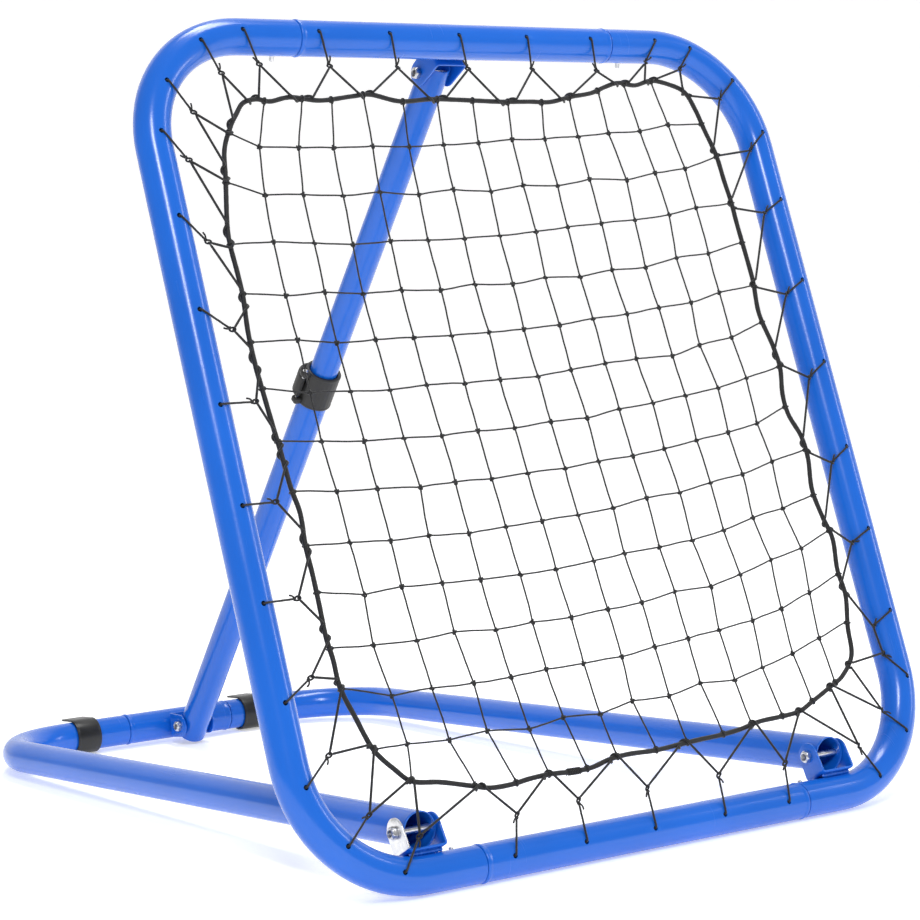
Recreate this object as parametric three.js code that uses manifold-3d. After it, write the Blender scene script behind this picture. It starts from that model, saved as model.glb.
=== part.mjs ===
// Adjustable ball rebounder: a rounded tube frame with a laced net leans back
// on a U-shaped floor base and is held by a telescopic strut with a clamp.
// Units are millimetres, +Z up. The frame faces -Y.
import * as THREE from 'three';
import { mergeVertices } from 'three/addons/utils/BufferGeometryUtils.js';
import Module from 'manifold-3d';

// ---- driving dimensions ---------------------------------------------------
const TUBE_R = 16.2;          // frame and base tube, radius over the corners of its 12-sided section
const TUBE_BORE = 15.0;       // its bore
const SPIGOT_R = 14.2;        // reduced tube end that plugs into the next tube
const SPIGOT_BORE = 13.0;
const FACETS = 12;
const LEAN = THREE.MathUtils.degToRad(18.7);   // frame's lean from upright at rest
const HALF_W = 334.7;         // frame, half width between tube axes
const HALF_H = 365.6;         // frame, half height between tube axes
const CORNER_R = 104;         // frame corner radius at the tube axis
const SEAM_TOP = 174;         // frame joints, distance from the middle
const SEAM_BOTTOM = 179;
const PIN_U = 194;             // joint pins, distance from the middle
const SPIGOT_LEN = 40;
const GAP = 0.3;
const HOLE_R = 2.2;           // lacing holes
const FRONT_AXIS_Z = 16.17;   // height of the bottom tube's axis
const BASE_HALF_W = 227.2;    // base, half width between tube axes at the back
const BASE_FRONT_X = { left: -BASE_HALF_W, right: BASE_HALF_W };   // tube axes at the hinges
const BACK_Y = 806.3;         // base back tube's axis behind the bottom tube's axis
const BACK_Z = 18.74;         // and its height
const BASE_CORNER_R = 96;
const BASE_SEAM = 64;
const BASE_START = 10;         // open ends of the base, behind the bottom tube's axis
const HINGE = [18, 50];       // frame hinge axis, y and z
const STRUT_FOOT = [768, 21]; // strut's lower pivot, y and z
const STRUT_HEAD = [272, 684];// strut's upper pivot, y and z
const STRUT_X = 2.5;          // strut's place across the object
const STRUT_OUT_R = 15.6;     // lower strut tube
const STRUT_OUT_BORE = 14.75;
const STRUT_IN_R = 14.1;      // upper strut tube
const STRUT_IN_BORE = 12.8;
const STRUT_OUT_LEN = 470;    // lower tube, from the lower pivot
const STRUT_IN_START = 285;   // inner end of the upper tube, from the lower pivot
const STRUT_BELOW = 12.5;     // lower tube past its pivot
const STRUT_ABOVE = 9.3;      // upper tube past its pivot
const CLAMP_FROM = 446, CLAMP_TO = 484;        // clamp collar, from the lower pivot
const BOLT_R = 3;
const BOLT_HOLE_R = 3.25;
const HEAD_HOLE_R = 7.5;      // wide hole at the strut's top, the linkage's free pivot
const EAR_T = 2;
const CLIP_X = [-114, 94];    // floor clips on the back tube
const CLIP_W = 28;
const NET_N = 8;              // net plane, in front of the frame's middle plane
const THREAD_HALF = 0.8;
const ROPE_R = 2.2;
const LACE_R = 1.25;
const TIE_R = 1.0;
const ORIGIN_Y = 407.05;      // the origin lies on the floor under the middle of the depth

// ---- net layout in the frame's plane, u to the right and v up the lean ----
const NET_KNOTS = [
  [[-237.8,260.6],[-198.5,259.8],[-162.7,259.6],[-121.8,261.1],[-83.2,260.5],[-45.2,262.4],[-6.3,264.0],[32.9,267.2],[70.2,267.6],[110.1,270.0],[147.0,273.6],[185.8,275.5],[222.7,282.2]],
  [[-243.0,217.1],[-205.0,217.0],[-164.5,215.5],[-125.4,218.4],[-84.4,215.2],[-46.2,219.7],[-5.5,217.2],[32.6,222.8],[72.1,221.8],[111.1,227.9],[154.8,226.5],[191.6,233.3],[230.0,237.2]],
  [[-245.0,174.9],[-204.9,173.1],[-166.2,170.6],[-126.0,172.8],[-86.8,172.8],[-47.1,173.4],[-7.5,175.2],[34.1,178.1],[71.4,181.7],[112.2,184.2],[152.3,187.0],[195.5,191.3],[231.2,197.6]],
  [[-244.5,127.0],[-205.7,128.8],[-167.2,125.9],[-126.9,127.9],[-85.3,126.2],[-47.7,130.5],[-6.0,129.1],[31.9,134.1],[71.6,133.4],[111.0,138.9],[150.6,140.1],[190.8,148.5],[231.9,151.6]],
  [[-242.9,87.8],[-204.9,83.3],[-165.5,84.4],[-125.3,84.3],[-85.7,84.4],[-44.5,85.6],[-5.8,86.6],[34.7,88.8],[74.6,93.3],[115.2,96.0],[154.5,100.5],[195.0,103.9],[232.7,112.5]],
  [[-242.4,41.3],[-202.3,40.4],[-162.4,39.3],[-124.0,41.5],[-83.5,40.4],[-45.0,41.8],[-3.0,42.3],[35.1,46.5],[75.8,50.6],[113.3,53.0],[156.5,53.4],[192.1,62.1],[233.5,67.7]],
  [[-242.1,-0.8],[-199.8,-3.7],[-159.8,-3.8],[-120.0,-4.7],[-81.6,-2.7],[-41.6,-2.8],[-1.1,0.3],[40.1,0.9],[78.8,7.0],[119.1,10.2],[159.5,14.8],[200.9,19.7],[238.4,27.5]],
  [[-237.9,-44.8],[-198.0,-45.5],[-154.6,-47.9],[-117.8,-46.2],[-78.8,-46.3],[-39.4,-44.1],[2.2,-43.0],[40.8,-39.5],[81.1,-37.5],[119.4,-33.3],[159.4,-28.1],[199.5,-23.3],[237.3,-16.9]],
  [[-236.7,-88.6],[-196.4,-91.0],[-157.0,-89.9],[-115.6,-91.9],[-76.4,-89.3],[-36.0,-87.9],[3.8,-85.8],[44.5,-82.8],[85.0,-77.1],[124.3,-75.1],[163.0,-68.9],[204.1,-64.1],[243.9,-54.6]],
  [[-233.9,-133.5],[-195.7,-130.5],[-154.9,-131.6],[-114.9,-132.6],[-73.0,-132.3],[-33.9,-131.4],[8.6,-128.0],[44.4,-124.6],[85.5,-122.8],[124.7,-120.0],[164.1,-114.1],[202.7,-105.7],[241.9,-100.1]],
  [[-236.3,-175.9],[-192.9,-176.7],[-154.0,-174.1],[-111.6,-176.8],[-72.1,-174.4],[-30.1,-175.0],[11.3,-172.1],[50.5,-170.1],[90.3,-164.3],[132.9,-164.2],[170.3,-156.5],[211.5,-146.5],[251.4,-139.5]],
  [[-229.2,-219.4],[-189.1,-217.9],[-146.6,-218.7],[-107.7,-218.5],[-69.3,-216.2],[-28.6,-216.0],[14.0,-215.1],[52.5,-210.6],[92.0,-207.7],[129.7,-204.0],[171.7,-199.8],[208.9,-192.9],[247.8,-181.5]],
  [[-224.9,-260.0],[-183.7,-262.4],[-144.0,-259.9],[-101.5,-264.0],[-63.5,-258.9],[-24.1,-261.2],[13.7,-254.3],[55.4,-255.2],[93.4,-248.3],[133.1,-250.4],[168.7,-243.0],[208.7,-234.8],[245.2,-224.6]]
];
const NET_END_LEFT = [[-262.0,271.9],[-275.6,227.6],[-284.4,173.4],[-283.2,129.8],[-285.8,87.2],[-284.4,48.0],[-280.7,1.6],[-277.3,-41.8],[-276.2,-88.1],[-275.6,-127.2],[-275.0,-173.6],[-272.6,-208.4],[-253.7,-260.5]];
const NET_END_RIGHT = [[262.0,282.7],[270.2,248.6],[273.6,200.9],[274.3,162.1],[274.6,117.7],[273.9,80.2],[280.4,35.5],[275.5,-3.2],[285.3,-45.6],[281.6,-91.6],[288.2,-126.7],[286.3,-168.4],[281.3,-213.8]];
const NET_END_TOP = [[-223.1,299.9],[-184.5,302.1],[-153.1,301.9],[-119.2,305.6],[-78.5,300.5],[-40.4,302.5],[-2.1,301.8],[37.2,300.9],[76.3,301.0],[110.3,305.7],[148.3,313.5],[181.3,320.3],[215.1,323.6]];
const NET_END_BOTTOM = [[-228.1,-286.4],[-169.2,-299.8],[-127.8,-303.3],[-92.6,-301.1],[-51.6,-301.8],[-17.5,-296.8],[25.7,-296.6],[61.4,-294.8],[104.6,-292.9],[139.7,-288.8],[177.2,-286.1],[216.7,-277.6],[250.4,-263.6]];
const ROPE_PATH = [[-244.2,300.8],[-230.4,304.3],[-216.8,302.4],[-195.6,306.4],[-165.5,303.7],[-131.7,307.8],[-111.1,309.7],[-81.2,303.6],[-47.4,305.9],[-15.0,305.5],[28.5,304.1],[64.1,304.4],[87.3,304.3],[113.0,309.6],[138.3,313.6],[156.8,319.9],[174.5,324.4],[194.0,322.1],[215.3,327.0],[236.4,323.6],[254.0,315.6],[261.9,297.8],[266.7,277.2],[273.4,250.7],[275.0,225.0],[276.9,202.8],[277.0,179.5],[278.0,148.5],[278.3,121.6],[275.3,89.5],[282.1,57.2],[283.8,34.6],[278.3,8.9],[279.1,-11.4],[287.9,-33.4],[289.1,-55.3],[283.9,-84.8],[287.8,-111.3],[293.4,-134.2],[289.3,-163.6],[291.0,-188.7],[283.6,-218.2],[279.2,-244.4],[262.0,-261.9],[243.6,-270.3],[215.4,-281.7],[198.5,-287.8],[174.7,-289.6],[149.7,-290.6],[125.1,-294.5],[100.6,-296.6],[77.3,-297.3],[48.6,-298.8],[25.1,-299.9],[-3.7,-299.1],[-25.2,-300.6],[-47.3,-305.0],[-69.3,-305.3],[-90.9,-304.3],[-111.9,-305.0],[-132.7,-307.1],[-154.7,-306.7],[-174.9,-301.8],[-201.5,-295.2],[-228.1,-290.7],[-242.6,-278.7],[-258.4,-260.1],[-268.4,-232.6],[-276.5,-207.0],[-277.3,-183.6],[-279.3,-164.3],[-278.9,-138.5],[-278.8,-112.9],[-279.5,-87.5],[-277.7,-60.5],[-281.3,-37.4],[-283.2,-8.0],[-285.4,16.8],[-287.7,47.4],[-289.1,67.3],[-289.1,96.6],[-286.5,126.9],[-286.7,147.8],[-287.8,172.2],[-286.4,190.8],[-278.2,231.2],[-272.8,258.4],[-262.0,279.0],[-253.4,290.7]];
const LACING = [
  [[-316.3,316.4],[-295.6,290.5],[-275.6,243.4],[-270.4,273.9]],
  [[-276.5,354.2],[-260.1,326.4],[-259.9,286.3],[-242.7,302.8]],
  [[-232.8,364.5],[-220.4,335.1],[-229.7,305.2],[-196.6,306.5]],
  [[-155.4,365.0],[-148.6,334.7],[-174.2,306.2],[-125.3,309.9]],
  [[-80.6,365.1],[-76.6,334.5],[-109.2,311.0],[-52.4,307.3]],
  [[-4.5,365.1],[0.8,334.4],[-30.9,308.6],[24.8,305.8]],
  [[72.2,364.7],[74.2,335.2],[46.4,306.9],[97.9,308.1]],
  [[147.7,365.2],[150.3,334.7],[113.5,312.0],[166.2,325.0]],
  [[226.6,363.8],[212.7,344.6],[185.7,325.2],[205.7,326.0]],
  [[268.3,357.5],[253.5,338.3],[221.8,328.0],[250.9,320.0]],
  [[310.8,324.4],[294.6,308.1],[260.4,310.9],[272.2,262.3]],
  [[332.7,271.6],[316.5,254.7],[274.2,249.2],[277.2,206.4]],
  [[333.9,201.9],[313.6,190.0],[281.6,195.6],[275.8,123.7]],
  [[334.1,119.1],[314.0,106.8],[287.3,114.0],[283.5,56.7]],
  [[334.6,36.5],[315.4,22.7],[285.6,35.5],[288.9,-31.8]],
  [[334.0,-48.6],[315.2,-62.1],[289.0,-50.9],[288.7,-112.6]],
  [[334.5,-129.6],[313.6,-140.9],[292.8,-126.5],[291.8,-171.9]],
  [[334.1,-209.3],[313.1,-221.7],[291.9,-190.0],null],
  [[333.6,-272.7],[316.6,-247.4],null,[275.1,-250.9]],
  [[314.8,-322.0],[296.5,-299.2],[273.2,-256.3],[246.4,-271.3]],
  [[268.7,-359.5],[256.9,-327.0],[245.0,-273.2],[200.2,-287.4]],
  [[153.2,-365.9],[165.1,-330.5],[194.3,-289.4],[143.6,-292.3]],
  [[78.1,-365.6],[86.8,-329.9],[135.9,-293.4],[62.0,-300.9]],
  [[-0.8,-367.1],[5.6,-329.6],[49.5,-302.9],[-16.6,-302.4]],
  [[-75.8,-362.4],[-69.6,-329.1],[-26.5,-302.8],[-89.5,-306.9]],
  [[-150.5,-364.9],[-135.1,-331.8],[-98.9,-305.6],[-161.1,-307.6]],
  [[-259.1,-361.3],[-234.0,-334.6],[-170.2,-304.7],[-229.5,-293.3]],
  [[-304.8,-332.0],[-276.6,-310.9],[-233.3,-289.9],[-259.2,-261.3]],
  [[-331.1,-281.9],[-301.5,-258.9],[-259.8,-257.3],[-278.5,-208.5]],
  [[-334.3,-213.5],[-302.4,-195.3],[-277.8,-199.5],[-281.6,-168.9]],
  [[-333.8,-132.2],[-298.4,-130.3],[-281.6,-152.5],[-282.1,-97.4]],
  [[-333.7,-51.1],[-299.1,-49.1],[-281.3,-76.3],[-286.8,-21.4]],
  [[-333.7,34.2],[-297.4,36.4],[-285.8,8.9],[-291.0,58.0]],
  [[-333.7,115.8],[-304.0,98.6],[-292.2,80.7],[-289.6,115.4]],
  [[-333.4,197.5],[-308.9,175.3],[-286.9,131.6],[-288.9,169.1]],
  [[-332.2,272.2],[-310.2,247.8],[-287.6,190.5],[-283.1,229.2]]
];

// ---- helpers --------------------------------------------------------------
const wasm = await Module();
wasm.setup();
const v3 = (x, y, z) => new THREE.Vector3(x, y, z);

function closed(g) {
  let h = g.clone();
  for (const name of Object.keys(h.attributes)) if (name !== 'position') h.deleteAttribute(name);
  h = mergeVertices(h, 1e-4);
  const p = h.attributes.position, ix = h.index.array;
  let vol = 0;
  const a = v3(), b = v3(), c = v3();
  for (let i = 0; i < ix.length; i += 3) {
    a.fromBufferAttribute(p, ix[i]); b.fromBufferAttribute(p, ix[i + 1]); c.fromBufferAttribute(p, ix[i + 2]);
    vol += a.dot(b.cross(c)) / 6;
  }
  if (vol < 0) for (let i = 0; i < ix.length; i += 3) { const t = ix[i]; ix[i] = ix[i + 1]; ix[i + 1] = t; }
  return h;
}
function toSolid(g) {
  const h = closed(g);
  return new wasm.Manifold(new wasm.Mesh({ numProp: 3,
    vertProperties: new Float32Array(h.attributes.position.array), triVerts: new Uint32Array(h.index.array) }));
}
function fromSolid(s) {
  const m = s.getMesh();
  const g = new THREE.BufferGeometry();
  g.setAttribute('position', new THREE.BufferAttribute(new Float32Array(m.vertProperties), 3));
  g.setIndex(new THREE.BufferAttribute(new Uint32Array(m.triVerts), 1));
  return g;
}
const cut = (g, ...tools) => fromSolid(tools.reduce((s, t) => s.subtract(toSolid(t)), toSolid(g)));
const join = (g, ...more) => fromSolid(more.reduce((s, t) => s.add(toSolid(t)), toSolid(g)));

// a curve given by its stations; side is the section's x direction, one for all or one per station
class Stations extends THREE.Curve {
  constructor(points, side) { super(); this.points = points; this.side = side; }
  getPoint(t, target = v3()) {
    const k = t * (this.points.length - 1), i = Math.min(Math.floor(k), this.points.length - 2);
    return target.copy(this.points[i]).lerp(this.points[i + 1], k - i);
  }
  getSpacedPoints() { return this.points.map((p) => p.clone()); }
  computeFrenetFrames() {
    const n = this.points.length, tangents = [], normals = [], binormals = [];
    for (let i = 0; i < n; i++) {
      const before = this.points[i].clone().sub(this.points[Math.max(i - 1, 0)]).normalize();
      const after = this.points[Math.min(i + 1, n - 1)].clone().sub(this.points[i]).normalize();
      const t = before.add(after).normalize();
      const s = this.side.clone().addScaledVector(t, -this.side.dot(t)).normalize();
      tangents.push(t); normals.push(s); binormals.push(t.clone().cross(s).normalize());
    }
    return { tangents, normals, binormals };
  }
}
function polygon(r, n, turn = 0) {
  return Array.from({ length: n }, (_, k) => {
    const a = turn + 2 * Math.PI * k / n;
    return new THREE.Vector2(r * Math.cos(a), r * Math.sin(a));
  });
}
function sweep(points, side, r, bore = 0, n = FACETS) {
  const shape = new THREE.Shape(polygon(r, n, Math.PI / n));
  if (bore) shape.holes.push(new THREE.Path(polygon(bore, n, Math.PI / n).reverse()));
  return new THREE.ExtrudeGeometry(shape, { steps: points.length - 1, extrudePath: new Stations(points, side), bevelEnabled: false });
}
// turned ring or tube along x: profile pairs are [x, radius], a closed outline
function turned(profile, n = FACETS) {
  const pts = profile.map(([x, r]) => new THREE.Vector2(r, x));
  pts.push(pts[0].clone());
  const g = new THREE.LatheGeometry(pts, n);
  g.rotateY(Math.PI / n);
  g.rotateZ(-Math.PI / 2);
  return g;
}
const rodX = (r, from, to, n = 12) => {
  const g = new THREE.CylinderGeometry(r, r, to - from, n);
  g.rotateZ(Math.PI / 2);
  g.translate((from + to) / 2, 0, 0);
  return g;
};
function rodAlong(r, from, to, n = 8) {
  const d = to.clone().sub(from);
  const g = new THREE.CylinderGeometry(r, r, d.length(), n);
  g.applyQuaternion(new THREE.Quaternion().setFromUnitVectors(v3(0, 1, 0), d.clone().normalize()));
  g.translate(...from.clone().add(to).multiplyScalar(0.5).toArray());
  return g;
}
const plate = (w, d, h, x, y, z) => new THREE.BoxGeometry(w, d, h).translate(x, y, z);

// ---- materials ------------------------------------------------------------
const material = (color, roughness, metalness) => new THREE.MeshStandardMaterial({ color, roughness, metalness, flatShading: true });
const blue = () => material(0x1f56e0, 0.3, 0.0);
const zinc = () => material(0xc9cdd2, 0.3, 1.0);
const black = () => material(0x17181a, 0.5, 0.0);
const cord = () => material(0x121214, 0.85, 0.0);

const root = new THREE.Group();
root.position.y = -ORIGIN_Y;
function add(parent, name, geometry, mat, at = [0, 0, 0]) {
  const mesh = new THREE.Mesh(closed(geometry), mat);
  mesh.name = name;
  mesh.position.set(...at);
  parent.add(mesh);
  return mesh;
}

// ---- frame, in its own leaning group: x right, y up the lean, z to the front
const frame = new THREE.Group();
frame.rotation.x = Math.PI / 2 - LEAN;
frame.position.set(0, HALF_H * Math.sin(LEAN), FRONT_AXIS_Z + HALF_H * Math.cos(LEAN));
root.add(frame);
const toFrame = ([y, z]) => {          // a point of the object's side view, in the frame group
  const dy = y - frame.position.y, dz = z - frame.position.z;
  return [dy * Math.sin(LEAN) + dz * Math.cos(LEAN), -dy * Math.cos(LEAN) + dz * Math.sin(LEAN)];
};

function sidePath(sign) {
  const p = [], cu = HALF_W - CORNER_R, cv = HALF_H - CORNER_R, k = 6;
  p.push(v3(SEAM_TOP + GAP, HALF_H, 0));
  for (let i = 0; i <= k; i++) { const a = i / k * Math.PI / 2; p.push(v3(cu + CORNER_R * Math.sin(a), cv + CORNER_R * Math.cos(a), 0)); }
  for (let i = 0; i <= k; i++) { const a = i / k * Math.PI / 2; p.push(v3(cu + CORNER_R * Math.cos(a), -cv - CORNER_R * Math.sin(a), 0)); }
  p.push(v3(SEAM_BOTTOM + GAP, -HALF_H, 0));
  return p.map((q) => v3(q.x * sign, q.y, 0));
}
// nearest point of the tube's centre line to a lacing hole's place
function onTube([u, v]) {
  const cu = HALF_W - CORNER_R, cv = HALF_H - CORNER_R, s = Math.sign(u) || 1, t = Math.sign(v) || 1;
  if (Math.abs(u) > cu && Math.abs(v) > cv) {
    const d = Math.hypot(Math.abs(u) - cu, Math.abs(v) - cv);
    return [s * (cu + (Math.abs(u) - cu) / d * CORNER_R), t * (cv + (Math.abs(v) - cv) / d * CORNER_R)];
  }
  return Math.abs(u) > cu ? [s * HALF_W, v] : [u, t * HALF_H];
}
const holes = LACING.map(([hole]) => onTube(hole));
const drill = ([u, v]) => rodAlong(HOLE_R, v3(u, v, 11.5), v3(u, v, 19), 8);
// frame joint pins: spring buttons that stand out through both tubes
const PIN_DIR = [Math.cos(THREE.MathUtils.degToRad(150)), -Math.sin(THREE.MathUtils.degToRad(150))];
const jointPins = [[-1, 1, 'tl'], [1, 1, 'tr'], [-1, -1, 'bl'], [1, -1, 'br']].map(([s, t, tag]) => {
  const u = s * PIN_U, v = t * HALF_H, d = v3(0, t * PIN_DIR[0], PIN_DIR[1]);
  return { tag, s, t, c: v3(u, v, 0), d };
});
const pinOpening = (j) => rodAlong(2.6, j.c.clone().addScaledVector(j.d, 9), j.c.clone().addScaledVector(j.d, 19), 8);

for (const s of [-1, 1]) {
  const mine = holes.filter(([u, v]) => Math.sign(u) === s && (v > 0 ? Math.abs(u) > SEAM_TOP : Math.abs(u) > SEAM_BOTTOM));
  const tube = sweep(sidePath(s), v3(0, 0, 1), TUBE_R, TUBE_BORE);
  add(frame, s < 0 ? 'frame_side_left' : 'frame_side_right',
    cut(tube, ...mine.map(drill), ...jointPins.filter((j) => j.s === s).map(pinOpening)), blue());
}
for (const [t, seam, name] of [[1, SEAM_TOP, 'frame_top_tube'], [-1, SEAM_BOTTOM, 'frame_bottom_tube']]) {
  const tube = turned([[-seam - SPIGOT_LEN, SPIGOT_BORE], [-seam - SPIGOT_LEN, SPIGOT_R], [-seam, SPIGOT_R], [-seam, TUBE_R],
    [seam, TUBE_R], [seam, SPIGOT_R], [seam + SPIGOT_LEN, SPIGOT_R], [seam + SPIGOT_LEN, SPIGOT_BORE]]);
  tube.translate(0, t * HALF_H, 0);
  const mine = holes.filter(([u, v]) => Math.sign(v) === t && Math.abs(u) < seam);
  add(frame, name, cut(tube, ...mine.map(drill), ...jointPins.filter((j) => j.t === t).map(pinOpening)), blue());
}
for (const j of jointPins) {
  const at = (d) => j.c.clone().addScaledVector(j.d, d);
  add(frame, `frame_pin_${j.tag}`, join(rodAlong(2.2, at(10.5), at(20.6), 8), rodAlong(1.4, at(20), at(21.2), 8)), zinc());
}

// bracket of one bent sheet: a back plate and two ears with a bolt hole.
// e = direction from the tube to the pivot, in the side view (y, z of the parent group)
function bracket(tubeAt, pivot, inner, halfPlate, end, corner, lift = GAP) {
  const dx = pivot[0] - tubeAt[0], dz = pivot[1] - tubeAt[1], dist = Math.hypot(dx, dz);
  const near = TUBE_R + lift;
  const ear = new THREE.Shape();
  ear.moveTo(-halfPlate, near);
  ear.lineTo(halfPlate, near);
  for (const side of [1, -1]) for (let i = 0; i <= 4; i++) {
    const a = (side > 0 ? i : 4 - i) / 4 * Math.PI / 2;
    ear.lineTo(side * (halfPlate - corner + corner * Math.cos(a)), dist + end - corner + corner * Math.sin(a));
  }
  ear.closePath();
  const solid = new THREE.ExtrudeGeometry(ear, { depth: 2 * (inner + EAR_T), bevelEnabled: false });
  solid.translate(0, 0, -(inner + EAR_T));
  // gap between the ears, above the plate
  const gap = plate(200, 200, 2 * inner, 0, near + EAR_T + 100, 0);
  const hole = new THREE.CylinderGeometry(BOLT_HOLE_R, BOLT_HOLE_R, 100, 12).rotateX(Math.PI / 2).translate(0, dist, 0);
  const g = cut(solid, gap, hole);
  // shape axes: x = across, y = towards the pivot, z = along the object's x
  const ey = v3(0, dx / dist, dz / dist), ez = v3(1, 0, 0), ex = ey.clone().cross(ez);
  g.applyMatrix4(new THREE.Matrix4().makeBasis(ex, ey, ez));
  g.translate(0, tubeAt[0], tubeAt[1]);
  return g;
}
// bolt along x: head on the side of `sign`, nut on the other
function boltGeo(inner, sign, reach = 1.8) {
  const out = inner + EAR_T + 0.2;
  const g = join(rodX(BOLT_R, -out - reach, out + 1), rodX(5.8, out, out + 4, 6));
  if (sign < 0) g.rotateY(Math.PI);
  return g;
}
function nutGeo(inner, sign) {
  const out = inner + EAR_T + 0.2;
  const g = turned([[-out - 5.5, 3.6], [-out - 5.5, 5.8], [-out, 5.8], [-out, 3.6]], 6);
  if (sign < 0) g.rotateY(Math.PI);
  return g;
}

const hingeLocal = toFrame(HINGE), headLocal = toFrame(STRUT_HEAD);
const HINGE_INNER = TUBE_R + 0.9;
for (const s of [-1, 1]) {
  const side = s < 0 ? 'left' : 'right';
  add(frame, `hinge_bracket_${side}`, bracket([-HALF_H, 0], hingeLocal, HINGE_INNER, 12.5, 12, 11.5, 1.9), blue(), [BASE_FRONT_X[side], 0, 0]);
  add(frame, `hinge_bolt_${side}`, boltGeo(HINGE_INNER, 1), zinc(), [BASE_FRONT_X[side], ...hingeLocal]);
  add(frame, `hinge_nut_${side}`, nutGeo(HINGE_INNER, 1), zinc(), [BASE_FRONT_X[side], ...hingeLocal]);
}
const HEAD_INNER = STRUT_IN_R + 0.9;
add(frame, 'strut_head_bracket', bracket([HALF_H, 0], headLocal, HEAD_INNER, 13, 9, 7), blue(), [STRUT_X, 0, 0]);
add(frame, 'strut_head_bolt', boltGeo(HEAD_INNER, 1), zinc(), [STRUT_X, ...headLocal]);
add(frame, 'strut_head_nut', nutGeo(HEAD_INNER, 1), zinc(), [STRUT_X, ...headLocal]);

// ---- base -----------------------------------------------------------------
const slope = (HINGE[1] - BACK_Z) / (BACK_Y - HINGE[0]);
const frontZ = HINGE[1] + slope * HINGE[0];
const base = new THREE.Group();
base.rotation.x = -Math.atan(slope);
base.position.set(0, 0, frontZ);
root.add(base);
const along = (y) => y / Math.cos(Math.atan(slope));
const backAt = along(BACK_Y);
for (const s of [-1, 1]) {
  const frontX = s < 0 ? BASE_FRONT_X.left : BASE_FRONT_X.right;
  const p = [v3(frontX, along(BASE_START), 0)];
  for (let i = 0; i <= 6; i++) {
    const a = i / 6 * Math.PI / 2;
    p.push(v3(s * (BASE_HALF_W - BASE_CORNER_R + BASE_CORNER_R * Math.cos(a)), backAt - BASE_CORNER_R + BASE_CORNER_R * Math.sin(a), 0));
  }
  p.push(v3(s * (BASE_SEAM + GAP), backAt, 0));
  const hingeHole = rodX(BOLT_HOLE_R, frontX - 25, frontX + 25, 12).translate(0, along(HINGE[0]), 0);
  add(base, s < 0 ? 'base_side_left' : 'base_side_right', cut(sweep(p, v3(0, 0, 1), TUBE_R, TUBE_BORE), hingeHole), blue());
}
add(base, 'base_back_tube', turned([[-BASE_SEAM - SPIGOT_LEN, SPIGOT_BORE], [-BASE_SEAM - SPIGOT_LEN, SPIGOT_R], [-BASE_SEAM, SPIGOT_R],
  [-BASE_SEAM, TUBE_R], [BASE_SEAM, TUBE_R], [BASE_SEAM, SPIGOT_R], [BASE_SEAM + SPIGOT_LEN, SPIGOT_R], [BASE_SEAM + SPIGOT_LEN, SPIGOT_BORE]]),
blue(), [0, backAt, 0]);

// floor clips: an open ring with flat faces, and a lip at the top that stands out to the back
CLIP_X.forEach((x, i) => {
  const inner = 16.95, outer = 19.4, s = new THREE.Shape();
  const a = (deg, r) => [r * Math.cos(deg * Math.PI / 180), r * Math.sin(deg * Math.PI / 180)];
  const deg = []; for (let d = 75; d <= 315; d += 30) deg.push(d);
  s.moveTo(23, 14.9);
  s.lineTo(23, 17.1);
  s.lineTo(...a(62, outer));
  for (const d of deg) s.lineTo(...a(d, outer));
  s.lineTo(...a(336, outer + 1.4));
  s.lineTo(...a(336, outer - 0.8));
  for (const d of [...deg].reverse()) s.lineTo(...a(d, inner));
  s.closePath();
  const g = new THREE.ExtrudeGeometry(s, { depth: CLIP_W, bevelEnabled: false });
  g.translate(0, 0, -CLIP_W / 2);
  g.applyMatrix4(new THREE.Matrix4().makeBasis(v3(0, 1, 0), v3(0, 0, 1), v3(1, 0, 0)));
  add(root, i === 0 ? 'floor_clip_left' : 'floor_clip_right', g, black(), [x, BACK_Y, BACK_Z]);
});

const FOOT_INNER = STRUT_OUT_R + 0.9;
add(root, 'strut_foot_bracket', bracket([BACK_Y, BACK_Z], STRUT_FOOT, FOOT_INNER, 13, 9, 7), blue(), [STRUT_X, 0, 0]);
add(root, 'strut_foot_bolt', boltGeo(FOOT_INNER, 1), zinc(), [STRUT_X, ...STRUT_FOOT]);
add(root, 'strut_foot_nut', nutGeo(FOOT_INNER, 1), zinc(), [STRUT_X, ...STRUT_FOOT]);

// ---- strut, in its own group: x right, y up the strut, z to its underside --
const strut = new THREE.Group();
const sy = STRUT_HEAD[0] - STRUT_FOOT[0], sz = STRUT_HEAD[1] - STRUT_FOOT[1], strutLen = Math.hypot(sy, sz);
strut.rotation.x = Math.atan2(sz, sy);
strut.position.set(STRUT_X, ...STRUT_FOOT);
root.add(strut);
const upright = (g) => g.rotateZ(Math.PI / 2);      // x along becomes y along
const pierce = (r, at) => rodX(r, -30, 30, 16).translate(0, at, 0);
add(strut, 'strut_lower_tube', cut(upright(turned([[-STRUT_BELOW, STRUT_OUT_BORE], [-STRUT_BELOW, STRUT_OUT_R], [STRUT_OUT_LEN, STRUT_OUT_R], [STRUT_OUT_LEN, STRUT_OUT_BORE]])),
  pierce(BOLT_HOLE_R, 0)), blue());
add(strut, 'strut_upper_tube', cut(upright(turned([[STRUT_IN_START, STRUT_IN_BORE], [STRUT_IN_START, STRUT_IN_R], [strutLen + STRUT_ABOVE, STRUT_IN_R], [strutLen + STRUT_ABOVE, STRUT_IN_BORE]])),
  pierce(HEAD_HOLE_R, strutLen)), blue());

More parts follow.
